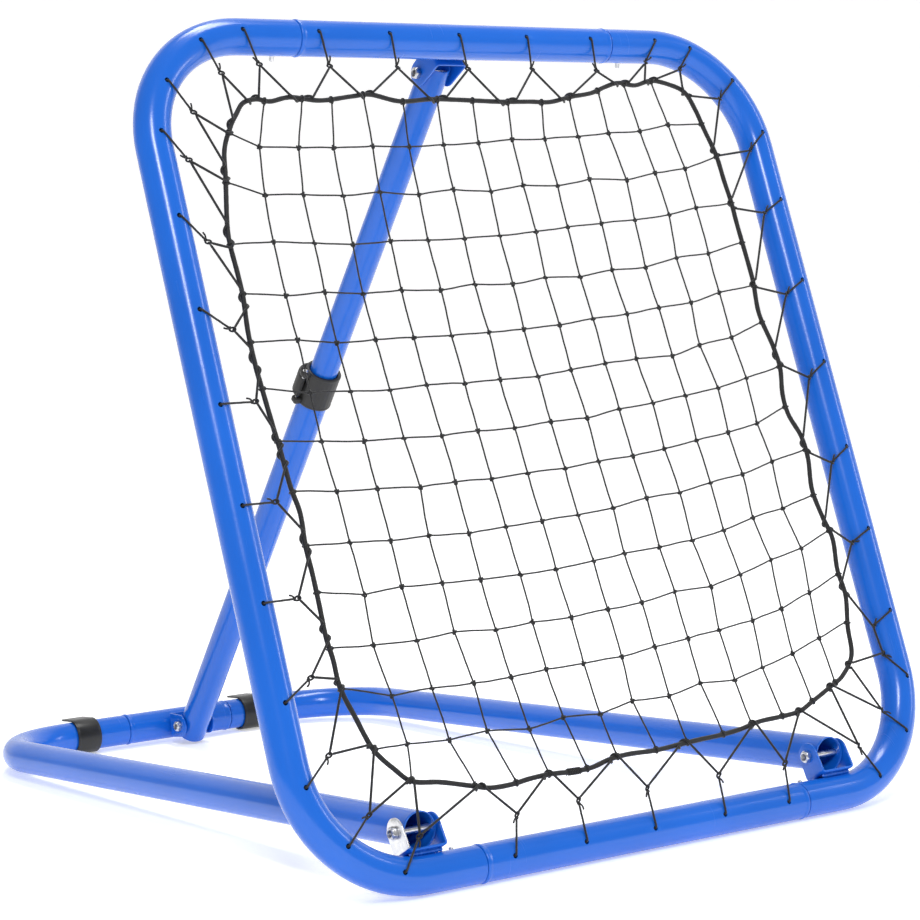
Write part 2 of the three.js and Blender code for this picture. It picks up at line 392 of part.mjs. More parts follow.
// clamp collar with two lugs on its left, a pin along the strut and a flip lever
const collar = upright(turned([[CLAMP_FROM, 16.3], [CLAMP_FROM, 18.6], [CLAMP_TO, 18.6], [CLAMP_TO, 14.7], [STRUT_OUT_LEN + 0.6, 14.7], [STRUT_OUT_LEN + 0.6, 16.3]]));
const LUG_X = -22;
const lug = (from, to) => plate(9.6, to - from, 9, -20.3, (from + to) / 2, 0);
const pinHole = rodAlong(1.9, v3(LUG_X, CLAMP_FROM - 5, 0), v3(LUG_X, CLAMP_TO + 5, 0), 8);
add(strut, 'clamp_collar', cut(join(collar, lug(CLAMP_FROM + 2.5, CLAMP_FROM + 6.3), lug(CLAMP_TO - 3.6, CLAMP_TO)), pinHole), black());
add(strut, 'clamp_pin', join(rodAlong(1.6, v3(LUG_X, CLAMP_FROM + 1, 0), v3(LUG_X, CLAMP_TO + 1, 0), 8),
  rodAlong(2.8, v3(LUG_X, CLAMP_TO + 0.3, 0), v3(LUG_X, CLAMP_TO + 1.8, 0), 8)), zinc());
// the lever lies round the collar: pairs are [angle from the lugs towards the back, distance from the strut's axis]
const lever = new THREE.Shape();
[[-5, 24.3], [3, 24.8], [10, 24.8], [20, 24.4], [35, 24.2], [50, 24.2], [65, 24.2], [80, 24.2], [90, 23.6], [92, 22.2], [88, 20.9],
  [75, 20.6], [60, 20.6], [45, 20.6], [30, 20.6], [18, 20.4], [9, 19.6], [0, 19.4], [-5, 19.8]].forEach(([deg, d], i) => {
  const a = THREE.MathUtils.degToRad(deg), x = -d * Math.cos(a), z = -d * Math.sin(a);
  i ? lever.lineTo(x, z) : lever.moveTo(x, z);
});
lever.closePath();
const LEVER_FROM = CLAMP_FROM + 6.9, LEVER_TO = CLAMP_TO - 4.2;
const leverGeo = new THREE.ExtrudeGeometry(lever, { depth: LEVER_TO - LEVER_FROM, bevelEnabled: false });
leverGeo.applyMatrix4(new THREE.Matrix4().makeBasis(v3(1, 0, 0), v3(0, 0, 1), v3(0, -1, 0)));
leverGeo.translate(0, LEVER_TO, 0);
add(strut, 'clamp_lever', cut(leverGeo, pinHole), black());

// ---- net ------------------------------------------------------------------
const unit = (a, b) => { const d = Math.hypot(b[0] - a[0], b[1] - a[1]); return [(b[0] - a[0]) / d, (b[1] - a[1]) / d]; };
const wedge = (p, a, b) => {
  const k = THREAD_HALF / Math.abs(a[0] * b[1] - a[1] * b[0]);
  return [p[0] + k * (a[0] + b[0]), p[1] + k * (a[1] + b[1])];
};
const N = NET_KNOTS.length, K = NET_KNOTS;
const stubs = [];
for (let j = 0; j < N; j++) stubs.push([K[0][j], NET_END_TOP[j]]);
for (let i = 0; i < N; i++) stubs.push([K[i][N - 1], NET_END_RIGHT[i]]);
for (let j = N - 1; j >= 0; j--) stubs.push([K[N - 1][j], NET_END_BOTTOM[j]]);
for (let i = N - 1; i >= 0; i--) stubs.push([K[i][0], NET_END_LEFT[i]]);
const outline = [];
stubs.forEach(([p, e], k) => {
  const d = unit(p, e), [q, f] = stubs[(k + 1) % stubs.length], dn = unit(q, f);
  outline.push([e[0] + d[1] * -THREAD_HALF, e[1] + d[0] * THREAD_HALF], [e[0] + d[1] * THREAD_HALF, e[1] - d[0] * THREAD_HALF]);
  if (p === q) outline.push(wedge(p, d, dn));
  else { const t = unit(p, q); outline.push(wedge(p, d, t), wedge(q, [-t[0], -t[1]], dn)); }
});
const netShape = new THREE.Shape(outline.reverse().map(([x, y]) => new THREE.Vector2(x, y)));
for (let i = 0; i < N - 1; i++) for (let j = 0; j < N - 1; j++) {
  const c = [K[i][j], K[i][j + 1], K[i + 1][j + 1], K[i + 1][j]];
  netShape.holes.push(new THREE.Path(c.map((p, k) => wedge(p, unit(p, c[(k + 3) % 4]), unit(p, c[(k + 1) % 4]))).map(([x, y]) => new THREE.Vector2(x, y))));
}
add(frame, 'net_mesh', new THREE.ExtrudeGeometry(netShape, { depth: 2 * THREAD_HALF, bevelEnabled: false }).translate(0, 0, NET_N - THREAD_HALF), cord());

// border rope: laid in a ring, its two ends butt together
const ropePts = ROPE_PATH.map(([u, v]) => v3(u, v, NET_N));
const joinDir = ropePts[0].clone().sub(ropePts[ropePts.length - 1]).normalize();
const ropeEnd = ropePts[0].clone().addScaledVector(joinDir, -0.6);
add(frame, 'border_rope', sweep([...ropePts, ropeEnd], v3(0, 0, 1), ROPE_R, 0, 5), cord());

// elastic lacing: zigzags between the rope and the ties, one tie through each hole
const lacePts = [];
LACING.forEach(([, node, before, after]) => {
  if (before) lacePts.push(v3(before[0], before[1], NET_N + 4.1));
  lacePts.push(v3(node[0], node[1], NET_N + 2.2));
  if (after) lacePts.push(v3(after[0], after[1], NET_N + 4.1));
});
const laceEnd = lacePts[0].clone().addScaledVector(lacePts[0].clone().sub(lacePts[lacePts.length - 1]).normalize(), -0.6);
const lace = sweep([...lacePts, laceEnd], v3(0, 0, 1), LACE_R, 0, 4);
const ties = LACING.map(([, node], i) => {
  const [u, v] = holes[i], dir = unit([u, v], node), at = (s, n) => v3(u + dir[0] * s, v + dir[1] * s, n);
  return sweep([at(0, 10.5), at(0, 18.4), at(9, 17.2), v3(node[0] + dir[0] * 0.5, node[1] + dir[1] * 0.5, NET_N + 2.2)], v3(dir[1], -dir[0], 0), TIE_R, 0, 4);
});
add(frame, 'elastic_lacing', join(lace, ...ties), cord());

export default root;
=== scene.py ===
# Looks of the pitch back rebounder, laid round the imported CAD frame.
# Lengths in the making are millimetres in the CAD's own groups; meshes are in metres in the row frame.
import math
import bpy
import numpy as np
from mathutils import Matrix, Vector


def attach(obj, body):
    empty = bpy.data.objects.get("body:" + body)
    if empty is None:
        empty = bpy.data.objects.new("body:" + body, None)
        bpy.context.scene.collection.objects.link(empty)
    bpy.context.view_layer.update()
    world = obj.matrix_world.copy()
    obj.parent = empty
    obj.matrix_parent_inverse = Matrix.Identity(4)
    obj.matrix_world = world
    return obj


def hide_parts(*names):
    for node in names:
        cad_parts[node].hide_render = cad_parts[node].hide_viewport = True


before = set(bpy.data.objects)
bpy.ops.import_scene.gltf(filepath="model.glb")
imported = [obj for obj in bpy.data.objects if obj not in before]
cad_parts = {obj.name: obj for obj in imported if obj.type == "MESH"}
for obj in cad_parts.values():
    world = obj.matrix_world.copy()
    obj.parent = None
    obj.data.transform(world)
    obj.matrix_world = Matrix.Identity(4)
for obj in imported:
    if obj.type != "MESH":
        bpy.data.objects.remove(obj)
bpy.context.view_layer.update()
rng = np.random.default_rng(7)

# ---- driving dimensions, as in the CAD (mm) ---------------------------------
TUBE_R, TUBE_BORE = 16.0, 14.8
SPIGOT_R, SPIGOT_BORE = 14.1, 12.9
LEAN = math.radians(18.7)
HALF_W, HALF_H, CORNER_R = 334.7, 365.6, 104.0
SEAM_TOP, SEAM_BOTTOM, SPIGOT_LEN = 174.0, 179.0, 40.0
PIN_U, STRUT_X = 194.0, 2.5
FRONT_AXIS_Z, ORIGIN_Y = 16.17, 407.05
BASE_HALF_W, BACK_Y, BACK_Z = 227.2, 806.3, 18.74
BASE_CORNER_R, BASE_SEAM, BASE_START = 96.0, 64.0, 10.0
HINGE, STRUT_FOOT, STRUT_HEAD = (18.0, 50.0), (768.0, 21.0), (272.0, 684.0)
STRUT_OUT_R, STRUT_OUT_BORE = 15.35, 14.45
STRUT_IN_R, STRUT_IN_BORE = 13.9, 12.7
STRUT_OUT_LEN, STRUT_IN_START = 470.0, 285.0
CLAMP_FROM, CLAMP_TO, LUG_X = 446.0, 484.0, -22.0
NET_N, ROPE_R, LACE_R, TIE_R, THREAD_R = 8.0, 2.15, 1.1, 0.95, 0.78
EAR_T = 2.0

# ---- net layout in the frame's plane, u to the right and v up the lean ------
NET_KNOTS = [
  [[-237.8,260.6],[-198.5,259.8],[-162.7,259.6],[-121.8,261.1],[-83.2,260.5],[-45.2,262.4],[-6.3,264.0],[32.9,267.2],[70.2,267.6],[110.1,270.0],[147.0,273.6],[185.8,275.5],[222.7,282.2]],
  [[-243.0,217.1],[-205.0,217.0],[-164.5,215.5],[-125.4,218.4],[-84.4,215.2],[-46.2,219.7],[-5.5,217.2],[32.6,222.8],[72.1,221.8],[111.1,227.9],[154.8,226.5],[191.6,233.3],[230.0,237.2]],
  [[-245.0,174.9],[-204.9,173.1],[-166.2,170.6],[-126.0,172.8],[-86.8,172.8],[-47.1,173.4],[-7.5,175.2],[34.1,178.1],[71.4,181.7],[112.2,184.2],[152.3,187.0],[195.5,191.3],[231.2,197.6]],
  [[-244.5,127.0],[-205.7,128.8],[-167.2,125.9],[-126.9,127.9],[-85.3,126.2],[-47.7,130.5],[-6.0,129.1],[31.9,134.1],[71.6,133.4],[111.0,138.9],[150.6,140.1],[190.8,148.5],[231.9,151.6]],
  [[-242.9,87.8],[-204.9,83.3],[-165.5,84.4],[-125.3,84.3],[-85.7,84.4],[-44.5,85.6],[-5.8,86.6],[34.7,88.8],[74.6,93.3],[115.2,96.0],[154.5,100.5],[195.0,103.9],[232.7,112.5]],
  [[-242.4,41.3],[-202.3,40.4],[-162.4,39.3],[-124.0,41.5],[-83.5,40.4],[-45.0,41.8],[-3.0,42.3],[35.1,46.5],[75.8,50.6],[113.3,53.0],[156.5,53.4],[192.1,62.1],[233.5,67.7]],
  [[-242.1,-0.8],[-199.8,-3.7],[-159.8,-3.8],[-120.0,-4.7],[-81.6,-2.7],[-41.6,-2.8],[-1.1,0.3],[40.1,0.9],[78.8,7.0],[119.1,10.2],[159.5,14.8],[200.9,19.7],[238.4,27.5]],
  [[-237.9,-44.8],[-198.0,-45.5],[-154.6,-47.9],[-117.8,-46.2],[-78.8,-46.3],[-39.4,-44.1],[2.2,-43.0],[40.8,-39.5],[81.1,-37.5],[119.4,-33.3],[159.4,-28.1],[199.5,-23.3],[237.3,-16.9]],
  [[-236.7,-88.6],[-196.4,-91.0],[-157.0,-89.9],[-115.6,-91.9],[-76.4,-89.3],[-36.0,-87.9],[3.8,-85.8],[44.5,-82.8],[85.0,-77.1],[124.3,-75.1],[163.0,-68.9],[204.1,-64.1],[243.9,-54.6]],
  [[-233.9,-133.5],[-195.7,-130.5],[-154.9,-131.6],[-114.9,-132.6],[-73.0,-132.3],[-33.9,-131.4],[8.6,-128.0],[44.4,-124.6],[85.5,-122.8],[124.7,-120.0],[164.1,-114.1],[202.7,-105.7],[241.9,-100.1]],
  [[-236.3,-175.9],[-192.9,-176.7],[-154.0,-174.1],[-111.6,-176.8],[-72.1,-174.4],[-30.1,-175.0],[11.3,-172.1],[50.5,-170.1],[90.3,-164.3],[132.9,-164.2],[170.3,-156.5],[211.5,-146.5],[251.4,-139.5]],
  [[-229.2,-219.4],[-189.1,-217.9],[-146.6,-218.7],[-107.7,-218.5],[-69.3,-216.2],[-28.6,-216.0],[14.0,-215.1],[52.5,-210.6],[92.0,-207.7],[129.7,-204.0],[171.7,-199.8],[208.9,-192.9],[247.8,-181.5]],
  [[-224.9,-260.0],[-183.7,-262.4],[-144.0,-259.9],[-101.5,-264.0],[-63.5,-258.9],[-24.1,-261.2],[13.7,-254.3],[55.4,-255.2],[93.4,-248.3],[133.1,-250.4],[168.7,-243.0],[208.7,-234.8],[245.2,-224.6]]
]
ROPE_PATH = [[-244.2,300.8],[-230.4,304.3],[-216.8,302.4],[-195.6,306.4],[-165.5,303.7],[-131.7,307.8],[-111.1,309.7],[-81.2,303.6],[-47.4,305.9],[-15.0,305.5],[28.5,304.1],[64.1,304.4],[87.3,304.3],[113.0,309.6],[138.3,313.6],[156.8,319.9],[174.5,324.4],[194.0,322.1],[215.3,327.0],[236.4,323.6],[254.0,315.6],[261.9,297.8],[266.7,277.2],[273.4,250.7],[275.0,225.0],[276.9,202.8],[277.0,179.5],[278.0,148.5],[278.3,121.6],[275.3,89.5],[282.1,57.2],[283.8,34.6],[278.3,8.9],[279.1,-11.4],[287.9,-33.4],[289.1,-55.3],[283.9,-84.8],[287.8,-111.3],[293.4,-134.2],[289.3,-163.6],[291.0,-188.7],[283.6,-218.2],[279.2,-244.4],[262.0,-261.9],[243.6,-270.3],[215.4,-281.7],[198.5,-287.8],[174.7,-289.6],[149.7,-290.6],[125.1,-294.5],[100.6,-296.6],[77.3,-297.3],[48.6,-298.8],[25.1,-299.9],[-3.7,-299.1],[-25.2,-300.6],[-47.3,-305.0],[-69.3,-305.3],[-90.9,-304.3],[-111.9,-305.0],[-132.7,-307.1],[-154.7,-306.7],[-174.9,-301.8],[-201.5,-295.2],[-228.1,-290.7],[-242.6,-278.7],[-258.4,-260.1],[-268.4,-232.6],[-276.5,-207.0],[-277.3,-183.6],[-279.3,-164.3],[-278.9,-138.5],[-278.8,-112.9],[-279.5,-87.5],[-277.7,-60.5],[-281.3,-37.4],[-283.2,-8.0],[-285.4,16.8],[-287.7,47.4],[-289.1,67.3],[-289.1,96.6],[-286.5,126.9],[-286.7,147.8],[-287.8,172.2],[-286.4,190.8],[-278.2,231.2],[-272.8,258.4],[-262.0,279.0],[-253.4,290.7]]
LACING = [
  [[-316.3,316.4],[-295.6,290.5],[-275.6,243.4],[-270.4,273.9]],
  [[-276.5,354.2],[-260.1,326.4],[-259.9,286.3],[-242.7,302.8]],
  [[-232.8,364.5],[-220.4,335.1],[-229.7,305.2],[-196.6,306.5]],
  [[-155.4,365.0],[-148.6,334.7],[-174.2,306.2],[-125.3,309.9]],
  [[-80.6,365.1],[-76.6,334.5],[-109.2,311.0],[-52.4,307.3]],
  [[-4.5,365.1],[0.8,334.4],[-30.9,308.6],[24.8,305.8]],
  [[72.2,364.7],[74.2,335.2],[46.4,306.9],[97.9,308.1]],
  [[147.7,365.2],[150.3,334.7],[113.5,312.0],[166.2,325.0]],
  [[226.6,363.8],[212.7,344.6],[185.7,325.2],[205.7,326.0]],
  [[268.3,357.5],[253.5,338.3],[221.8,328.0],[250.9,320.0]],
  [[310.8,324.4],[294.6,308.1],[260.4,310.9],[272.2,262.3]],
  [[332.7,271.6],[316.5,254.7],[274.2,249.2],[277.2,206.4]],
  [[333.9,201.9],[313.6,190.0],[281.6,195.6],[275.8,123.7]],
  [[334.1,119.1],[314.0,106.8],[287.3,114.0],[283.5,56.7]],
  [[334.6,36.5],[315.4,22.7],[285.6,35.5],[288.9,-31.8]],
  [[334.0,-48.6],[315.2,-62.1],[289.0,-50.9],[288.7,-112.6]],
  [[334.5,-129.6],[313.6,-140.9],[292.8,-126.5],[291.8,-171.9]],
  [[334.1,-209.3],[313.1,-221.7],[291.9,-190.0],None],
  [[333.6,-272.7],[316.6,-247.4],None,[275.1,-250.9]],
  [[314.8,-322.0],[296.5,-299.2],[273.2,-256.3],[246.4,-271.3]],
  [[268.7,-359.5],[256.9,-327.0],[245.0,-273.2],[200.2,-287.4]],
  [[153.2,-365.9],[165.1,-330.5],[194.3,-289.4],[143.6,-292.3]],
  [[78.1,-365.6],[86.8,-329.9],[135.9,-293.4],[62.0,-300.9]],
  [[-0.8,-367.1],[5.6,-329.6],[49.5,-302.9],[-16.6,-302.4]],
  [[-75.8,-362.4],[-69.6,-329.1],[-26.5,-302.8],[-89.5,-306.9]],
  [[-150.5,-364.9],[-135.1,-331.8],[-98.9,-305.6],[-161.1,-307.6]],
  [[-259.1,-361.3],[-234.0,-334.6],[-170.2,-304.7],[-229.5,-293.3]],
  [[-304.8,-332.0],[-276.6,-310.9],[-233.3,-289.9],[-259.2,-261.3]],
  [[-331.1,-281.9],[-301.5,-258.9],[-259.8,-257.3],[-278.5,-208.5]],
  [[-334.3,-213.5],[-302.4,-195.3],[-277.8,-199.5],[-281.6,-168.9]],
  [[-333.8,-132.2],[-298.4,-130.3],[-281.6,-152.5],[-282.1,-97.4]],
  [[-333.7,-51.1],[-299.1,-49.1],[-281.3,-76.3],[-286.8,-21.4]],
  [[-333.7,34.2],[-297.4,36.4],[-285.8,8.9],[-291.0,58.0]],
  [[-333.7,115.8],[-304.0,98.6],[-292.2,80.7],[-289.6,115.4]],
  [[-333.4,197.5],[-308.9,175.3],[-286.9,131.6],[-288.9,169.1]],
  [[-332.2,272.2],[-310.2,247.8],[-287.6,190.5],[-283.1,229.2]]
]

NET_END_TOP = [[-222.8,300.7],[-184.3,302.7],[-153.1,301.7],[-119.2,305.6],[-78.3,302.2],[-40.2,304.1],[-2.0,302.3],[37.4,302.2],[76.6,302.5],[110.3,306.5],[148.3,313.7],[181.3,320.6],[215.0,324.0]]
NET_END_BOTTOM = [[-228.3,-287.7],[-168.4,-301.9],[-126.9,-305.6],[-92.6,-300.9],[-50.9,-304.3],[-17.5,-297.0],[26.2,-298.4],[61.5,-295.6],[105.0,-294.6],[139.8,-289.6],[177.7,-288.6],[217.1,-279.5],[250.7,-265.5]]
NET_END_LEFT = [[-264.7,273.1],[-275.7,227.6],[-284.5,173.4],[-284.9,129.9],[-288.8,87.2],[-285.8,48.2],[-282.6,1.7],[-279.0,-41.7],[-277.1,-88.1],[-277.2,-126.9],[-277.7,-173.4],[-274.7,-207.9],[-254.8,-260.5]]
NET_END_RIGHT = [[262.7,282.7],[273.7,249.6],[274.4,201.0],[272.5,161.7],[275.9,117.9],[273.8,80.2],[283.1,36.0],[273.0,-4.1],[283.6,-46.0],[281.8,-91.5],[291.2,-125.7],[288.4,-167.7],[282.9,-213.3]]

# ---- groups ------------------------------------------------------------------
class Group:
    """A place and a turn: columns are the group's axes in the row frame, at is its origin in mm."""

    def __init__(self, x, y, z, at):
        self.turn = np.array([x, y, z], float).T
        self.at = np.array(at, float)

    def world(self, p):
        return (np.asarray(p, float) @ self.turn.T + self.at) * 0.001


SL, CL = math.sin(LEAN), math.cos(LEAN)
FRAME = Group((1, 0, 0), (0, SL, CL), (0, -CL, SL), (0, HALF_H * SL - ORIGIN_Y, FRONT_AXIS_Z + HALF_H * CL))
ROOT = Group((1, 0, 0), (0, 1, 0), (0, 0, 1), (0, -ORIGIN_Y, 0))
slope = (HINGE[1] - BACK_Z) / (BACK_Y - HINGE[0])
tip = math.atan(slope)
BASE = Group((1, 0, 0), (0, math.cos(tip), -math.sin(tip)), (0, math.sin(tip), math.cos(tip)), (0, -ORIGIN_Y, HINGE[1] + slope * HINGE[0]))
along = 1.0 / math.cos(tip)
sy, sz = STRUT_HEAD[0] - STRUT_FOOT[0], STRUT_HEAD[1] - STRUT_FOOT[1]
strut_len = math.hypot(sy, sz)
STRUT = Group((1, 0, 0), (0, sy / strut_len, sz / strut_len), (0, -sz / strut_len, sy / strut_len), (STRUT_X, STRUT_FOOT[0] - ORIGIN_Y, STRUT_FOOT[1]))


def to_frame(yz):
    """A point of the object's side view, in the frame group's (v, n)."""
    dy, dz = yz[0] - HALF_H * SL, yz[1] - (FRONT_AXIS_Z + HALF_H * CL)
    return dy * SL + dz * CL, -dy * CL + dz * SL


# ---- mesh making ---------------------------------------------------------------
class Piece:
    """Closed surfaces gathered into one mesh object."""

    def __init__(self):
        self.v, self.q, self.t, self.qu, self.tu, self.qm, self.tm = [], [], [], [], [], [], []
        self.count = 0

    def add(self, verts, quads, tris=None, quv=None, tuv=None, mat=0):
        verts = np.asarray(verts, float).reshape(-1, 3)
        quads = np.asarray(quads, int).reshape(-1, 4)
        tris = np.zeros((0, 3), int) if tris is None or len(tris) == 0 else np.asarray(tris, int).reshape(-1, 3)
        quv = np.zeros((len(quads), 4, 2)) if quv is None else np.asarray(quv, float)
        tuv = np.zeros((len(tris), 3, 2)) if tuv is None or len(tris) == 0 else np.asarray(tuv, float)
        mid = verts.mean(axis=0)
        w = verts - mid
        vol = 0.0
        for f in (quads[:, [0, 1, 2]], quads[:, [0, 2, 3]], tris):
            if len(f):
                vol += np.einsum("ij,ij->i", w[f[:, 0]], np.cross(w[f[:, 1]], w[f[:, 2]])).sum()
        if vol < 0:
            quads, quv = quads[:, ::-1], quv[:, ::-1]
            tris, tuv = tris[:, ::-1], tuv[:, ::-1]
        self.v.append(verts)
        self.q.append(quads + self.count)
        self.t.append(tris + self.count)
        self.qu.append(quv)
        self.tu.append(tuv)
        self.qm.append(np.full(len(quads), mat))
        self.tm.append(np.full(len(tris), mat))
        self.count += len(verts)

    def rings(self, P, s=None, wrap=False, caps=True, mat=0):
        """Surface through closed rings P[r, k]; wrap joins the last ring to the first, caps close the ends."""
        P = np.asarray(P, float)
        R, n, _ = P.shape
        s = np.arange(R) * 1.0 if s is None else np.asarray(s, float)
        idx = np.arange(R * n).reshape(R, n)
        nxt = np.roll(idx, -1, axis=1)
        if wrap:
            a, b, an, bn = idx, np.roll(idx, -1, 0), nxt, np.roll(nxt, -1, 0)
            s0, s1 = s, np.roll(s, -1)
        else:
            a, b, an, bn = idx[:-1], idx[1:], nxt[:-1], nxt[1:]
            s0, s1 = s[:-1], s[1:]
        quads = np.stack([a, an, bn, b], -1).reshape(-1, 4)
        k = np.arange(n) / n
        U0 = np.broadcast_to(s0[:, None], a.shape) * 0.001
        U1 = np.broadcast_to(s1[:, None], a.shape) * 0.001
        V0 = np.broadcast_to(k[None], a.shape)
        V1 = V0 + 1.0 / n
        quv = np.stack([np.stack([U0, V0], -1), np.stack([U0, V1], -1), np.stack([U1, V1], -1), np.stack([U1, V0], -1)], 2).reshape(-1, 4, 2)
        verts, tris, tuv = P.reshape(-1, 3), [], []
        if caps and not wrap:
            ends = np.stack([P[0].mean(0), P[-1].mean(0)])
            verts = np.concatenate([verts, ends])
            c0, c1 = R * n, R * n + 1
            tris = np.concatenate([np.stack([nxt[0], idx[0], np.full(n, c0)], -1), np.stack([idx[-1], nxt[-1], np.full(n, c1)], -1)])
            tuv = np.zeros((2 * n, 3, 2))
            tuv[:n, :, 0], tuv[n:, :, 0] = s[0] * 0.001, s[-1] * 0.001
        self.add(verts, quads, tris, quv, tuv, mat)

    def done(self, name, group, mats, body, slot, replaces=(), sharp=38.0):
        v = group.world(np.concatenate(self.v))
        q, t = np.concatenate(self.q), np.concatenate(self.t)
        mesh = bpy.data.meshes.new(name)
        mesh.vertices.add(len(v))
        mesh.vertices.foreach_set("co", v.astype(np.float32).ravel())
        loops = np.concatenate([q.ravel(), t.ravel()])
        mesh.loops.add(len(loops))
        mesh.loops.foreach_set("vertex_index", loops.astype(np.int32))
        mesh.polygons.add(len(q) + len(t))
        starts = np.concatenate([np.arange(len(q)) * 4, len(q) * 4 + np.arange(len(t)) * 3])
        mesh.polygons.foreach_set("loop_start", starts.astype(np.int32))
        mesh.polygons.foreach_set("material_index", np.concatenate(self.qm + self.tm).astype(np.int32))
        uv = np.concatenate([np.concatenate(self.qu).reshape(-1, 2), np.concatenate(self.tu).reshape(-1, 2)])
        layer = mesh.uv_layers.new(name="UVMap")
        layer.data.foreach_set("uv", uv.astype(np.float32).ravel())
        mesh.update(calc_edges=True)
        mesh.validate()
        mesh.polygons.foreach_set("use_smooth", np.ones(len(mesh.polygons), bool))
        mesh.set_sharp_from_angle(angle=math.radians(sharp))
        for m in mats if isinstance(mats, (list, tuple)) else [mats]:
            mesh.materials.append(m)
        o = bpy.data.objects.new(name, mesh)
        bpy.context.scene.collection.objects.link(o)
        if body:
            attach(o, body)
        if replaces:
            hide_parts(*replaces)
        return o


def ring(centre, x, y, radius, n, turn=0.0):
    """Points of a circle, or of a curve where radius is given per point, in the plane of x and y."""
    a = turn + np.arange(n) * 2 * math.pi / n
    r = np.broadcast_to(radius, (n,))
    return np.asarray(centre) + np.outer(r * np.cos(a), x) + np.outer(r * np.sin(a), y)


class Run:
    """Centre line of straight and bent stretches in the plane of a group's x and y."""

    def __init__(self, start, heading, stretches):
        self.parts, s, p, h = [], 0.0, np.array(start, float), math.radians(heading)
        for kind, a, *b in stretches:
            if kind == "line":
                self.parts.append((s, s + a, p.copy(), h, None, 0))
                p = p + a * np.array([math.cos(h), math.sin(h)])
                s += a
            else:
                sign = 1 if b[0] > 0 else -1
                turn = math.radians(b[0])
                length = a * abs(turn)
                self.parts.append((s, s + length, p.copy(), h, a, sign))
                c = p + sign * a * np.array([-math.sin(h), math.cos(h)])
                h2 = h + turn
                p = c - sign * a * np.array([-math.sin(h2), math.cos(h2)])
                h = h2
                s += length
        self.length = s

    def at(self, s):
        for s0, s1, p, h, r, sign in self.parts:
            if s <= s1 + 1e-9 or (s0, s1) == self.parts[-1][:2]:
                d = s - s0
                if r is None:
                    return np.array([*(p + d * np.array([math.cos(h), math.sin(h)])), 0.0]), np.array([math.cos(h), math.sin(h), 0.0])
                c = p + sign * r * np.array([-math.sin(h), math.cos(h)])
                h2 = h + sign * d / r
                return np.array([*(c - sign * r * np.array([-math.sin(h2), math.cos(h2)])), 0.0]), np.array([math.cos(h2), math.sin(h2), 0.0])

    def stations(self, step=16.0, turn=4.5):
        out = [0.0]
        for s0, s1, p, h, r, sign in self.parts:
            n = max(2, math.ceil((s1 - s0) / step)) if r is None else max(2, math.ceil(math.degrees((s1 - s0) / r) / turn))
            out += list(s0 + (s1 - s0) * np.arange(1, n + 1) / n)
        return out


def swept_tube(piece, run, outline, n=72, side=(0, 0, 1.0)):
    """A tube wall turned along a run: outline is closed, pairs (s, radius)."""
    side = np.array(side, float)
    P, S = [], []
    for s, r in outline:
        p, t = run.at(min(max(s, 0.0), run.length))
        if s < 0 or s > run.length:
            p = p + t * (s - min(max(s, 0.0), run.length))
        P.append(ring(p, side, np.cross(t, side), r, n))
        S.append(s)
    piece.rings(P, S, wrap=True)


def plain_outline(run, r, bore, lip=0.55, start_lip=None):
    """Outer wall out, rounded end, inner wall back, rounded end."""
    L = run.length
    st = [s for s in run.stations() if 3.0 < s < L - 3.0]
    mid = (r + bore) / 2
    out = [(0.0, mid), (0.0, r - lip * .6), (lip * .25, r - lip * .22), (lip * .8, r), (2.5, r)] + [(s, r) for s in st]
    out += [(L - 2.5, r), (L - lip * .8, r), (L - lip * .25, r - lip * .22), (L, r - lip * .6), (L, mid), (L, bore + .25), (L - .35, bore), (L - 2.5, bore)]
    out += [(s, bore) for s in reversed(st)] + [(2.5, bore), (.35, bore), (0.0, bore + .25)]
    return out


def turned(piece, profile, axis, at, x, y, n=48, mat=0, radius=None, turn=0.0, wrap=True):
    """A turned shape: profile pairs (distance along axis, radius), closed when wrap, else capped at both ends."""
    axis, at = np.array(axis, float), np.array(at, float)
    P = []
    for s, r in profile:
        rr = radius(s, r, turn + np.arange(n) * 2 * math.pi / n) if radius else r
        P.append(ring(at + axis * s, np.array(x, float), np.array(y, float), rr, n, turn))
    piece.rings(P, [p[0] for p in profile], wrap=wrap, mat=mat)


def frames(P, closed=False, up=(0.0, 0.0, 1.0)):
    """Tangents, sides and normals along a line of points, the side kept level with `up` where it can be."""
    P = np.asarray(P, float)
    if closed:
        t = np.roll(P, -1, 0) - np.roll(P, 1, 0)
    else:
        t = np.gradient(P, axis=0)
    t /= np.linalg.norm(t, axis=1)[:, None]
    N = np.zeros_like(P)
    n = np.array(up, float)
    if abs(n @ t[0]) > .95:
        n = np.array((1.0, 0, 0))
    for i in range(len(P)):
        n = n - (n @ t[i]) * t[i]
        n /= np.linalg.norm(n)
        N[i] = n
    return t, N, np.cross(t, N)


def cord(piece, P, r, n=8, closed=False, up=(0, 0, 1.0), s0=0.0, mat=0, taper=0.0, swell=None):
    """A round cord along points; its ends are rounded off."""
    P = np.asarray(P, float)
    t, N, B = frames(P, closed, up)
    d = np.concatenate([[0], np.cumsum(np.linalg.norm(np.diff(P, axis=0), axis=1))]) + s0
    a = np.arange(n) * 2 * math.pi / n
    rad = np.full((len(P), n), float(r))
    if swell is not None:
        rad = rad * swell(d[:, None], a[None])
    ringset = P[:, None] + rad[..., None] * (np.cos(a)[None, :, None] * N[:, None] + np.sin(a)[None, :, None] * B[:, None])
    if closed:
        piece.rings(ringset, d, wrap=True, mat=mat)
        return
    e0 = [P[0] - t[0] * r * k + (ringset[0] - P[0]) * m for k, m in ((.55, .45), (.3, .8))]
    e1 = [P[-1] + t[-1] * r * k + (ringset[-1] - P[-1]) * m for k, m in ((.3, .8), (.55, .45))]
    piece.rings(np.concatenate([e0, ringset, e1]), np.concatenate([[d[0], d[0]], d, [d[-1], d[-1]]]), mat=mat)


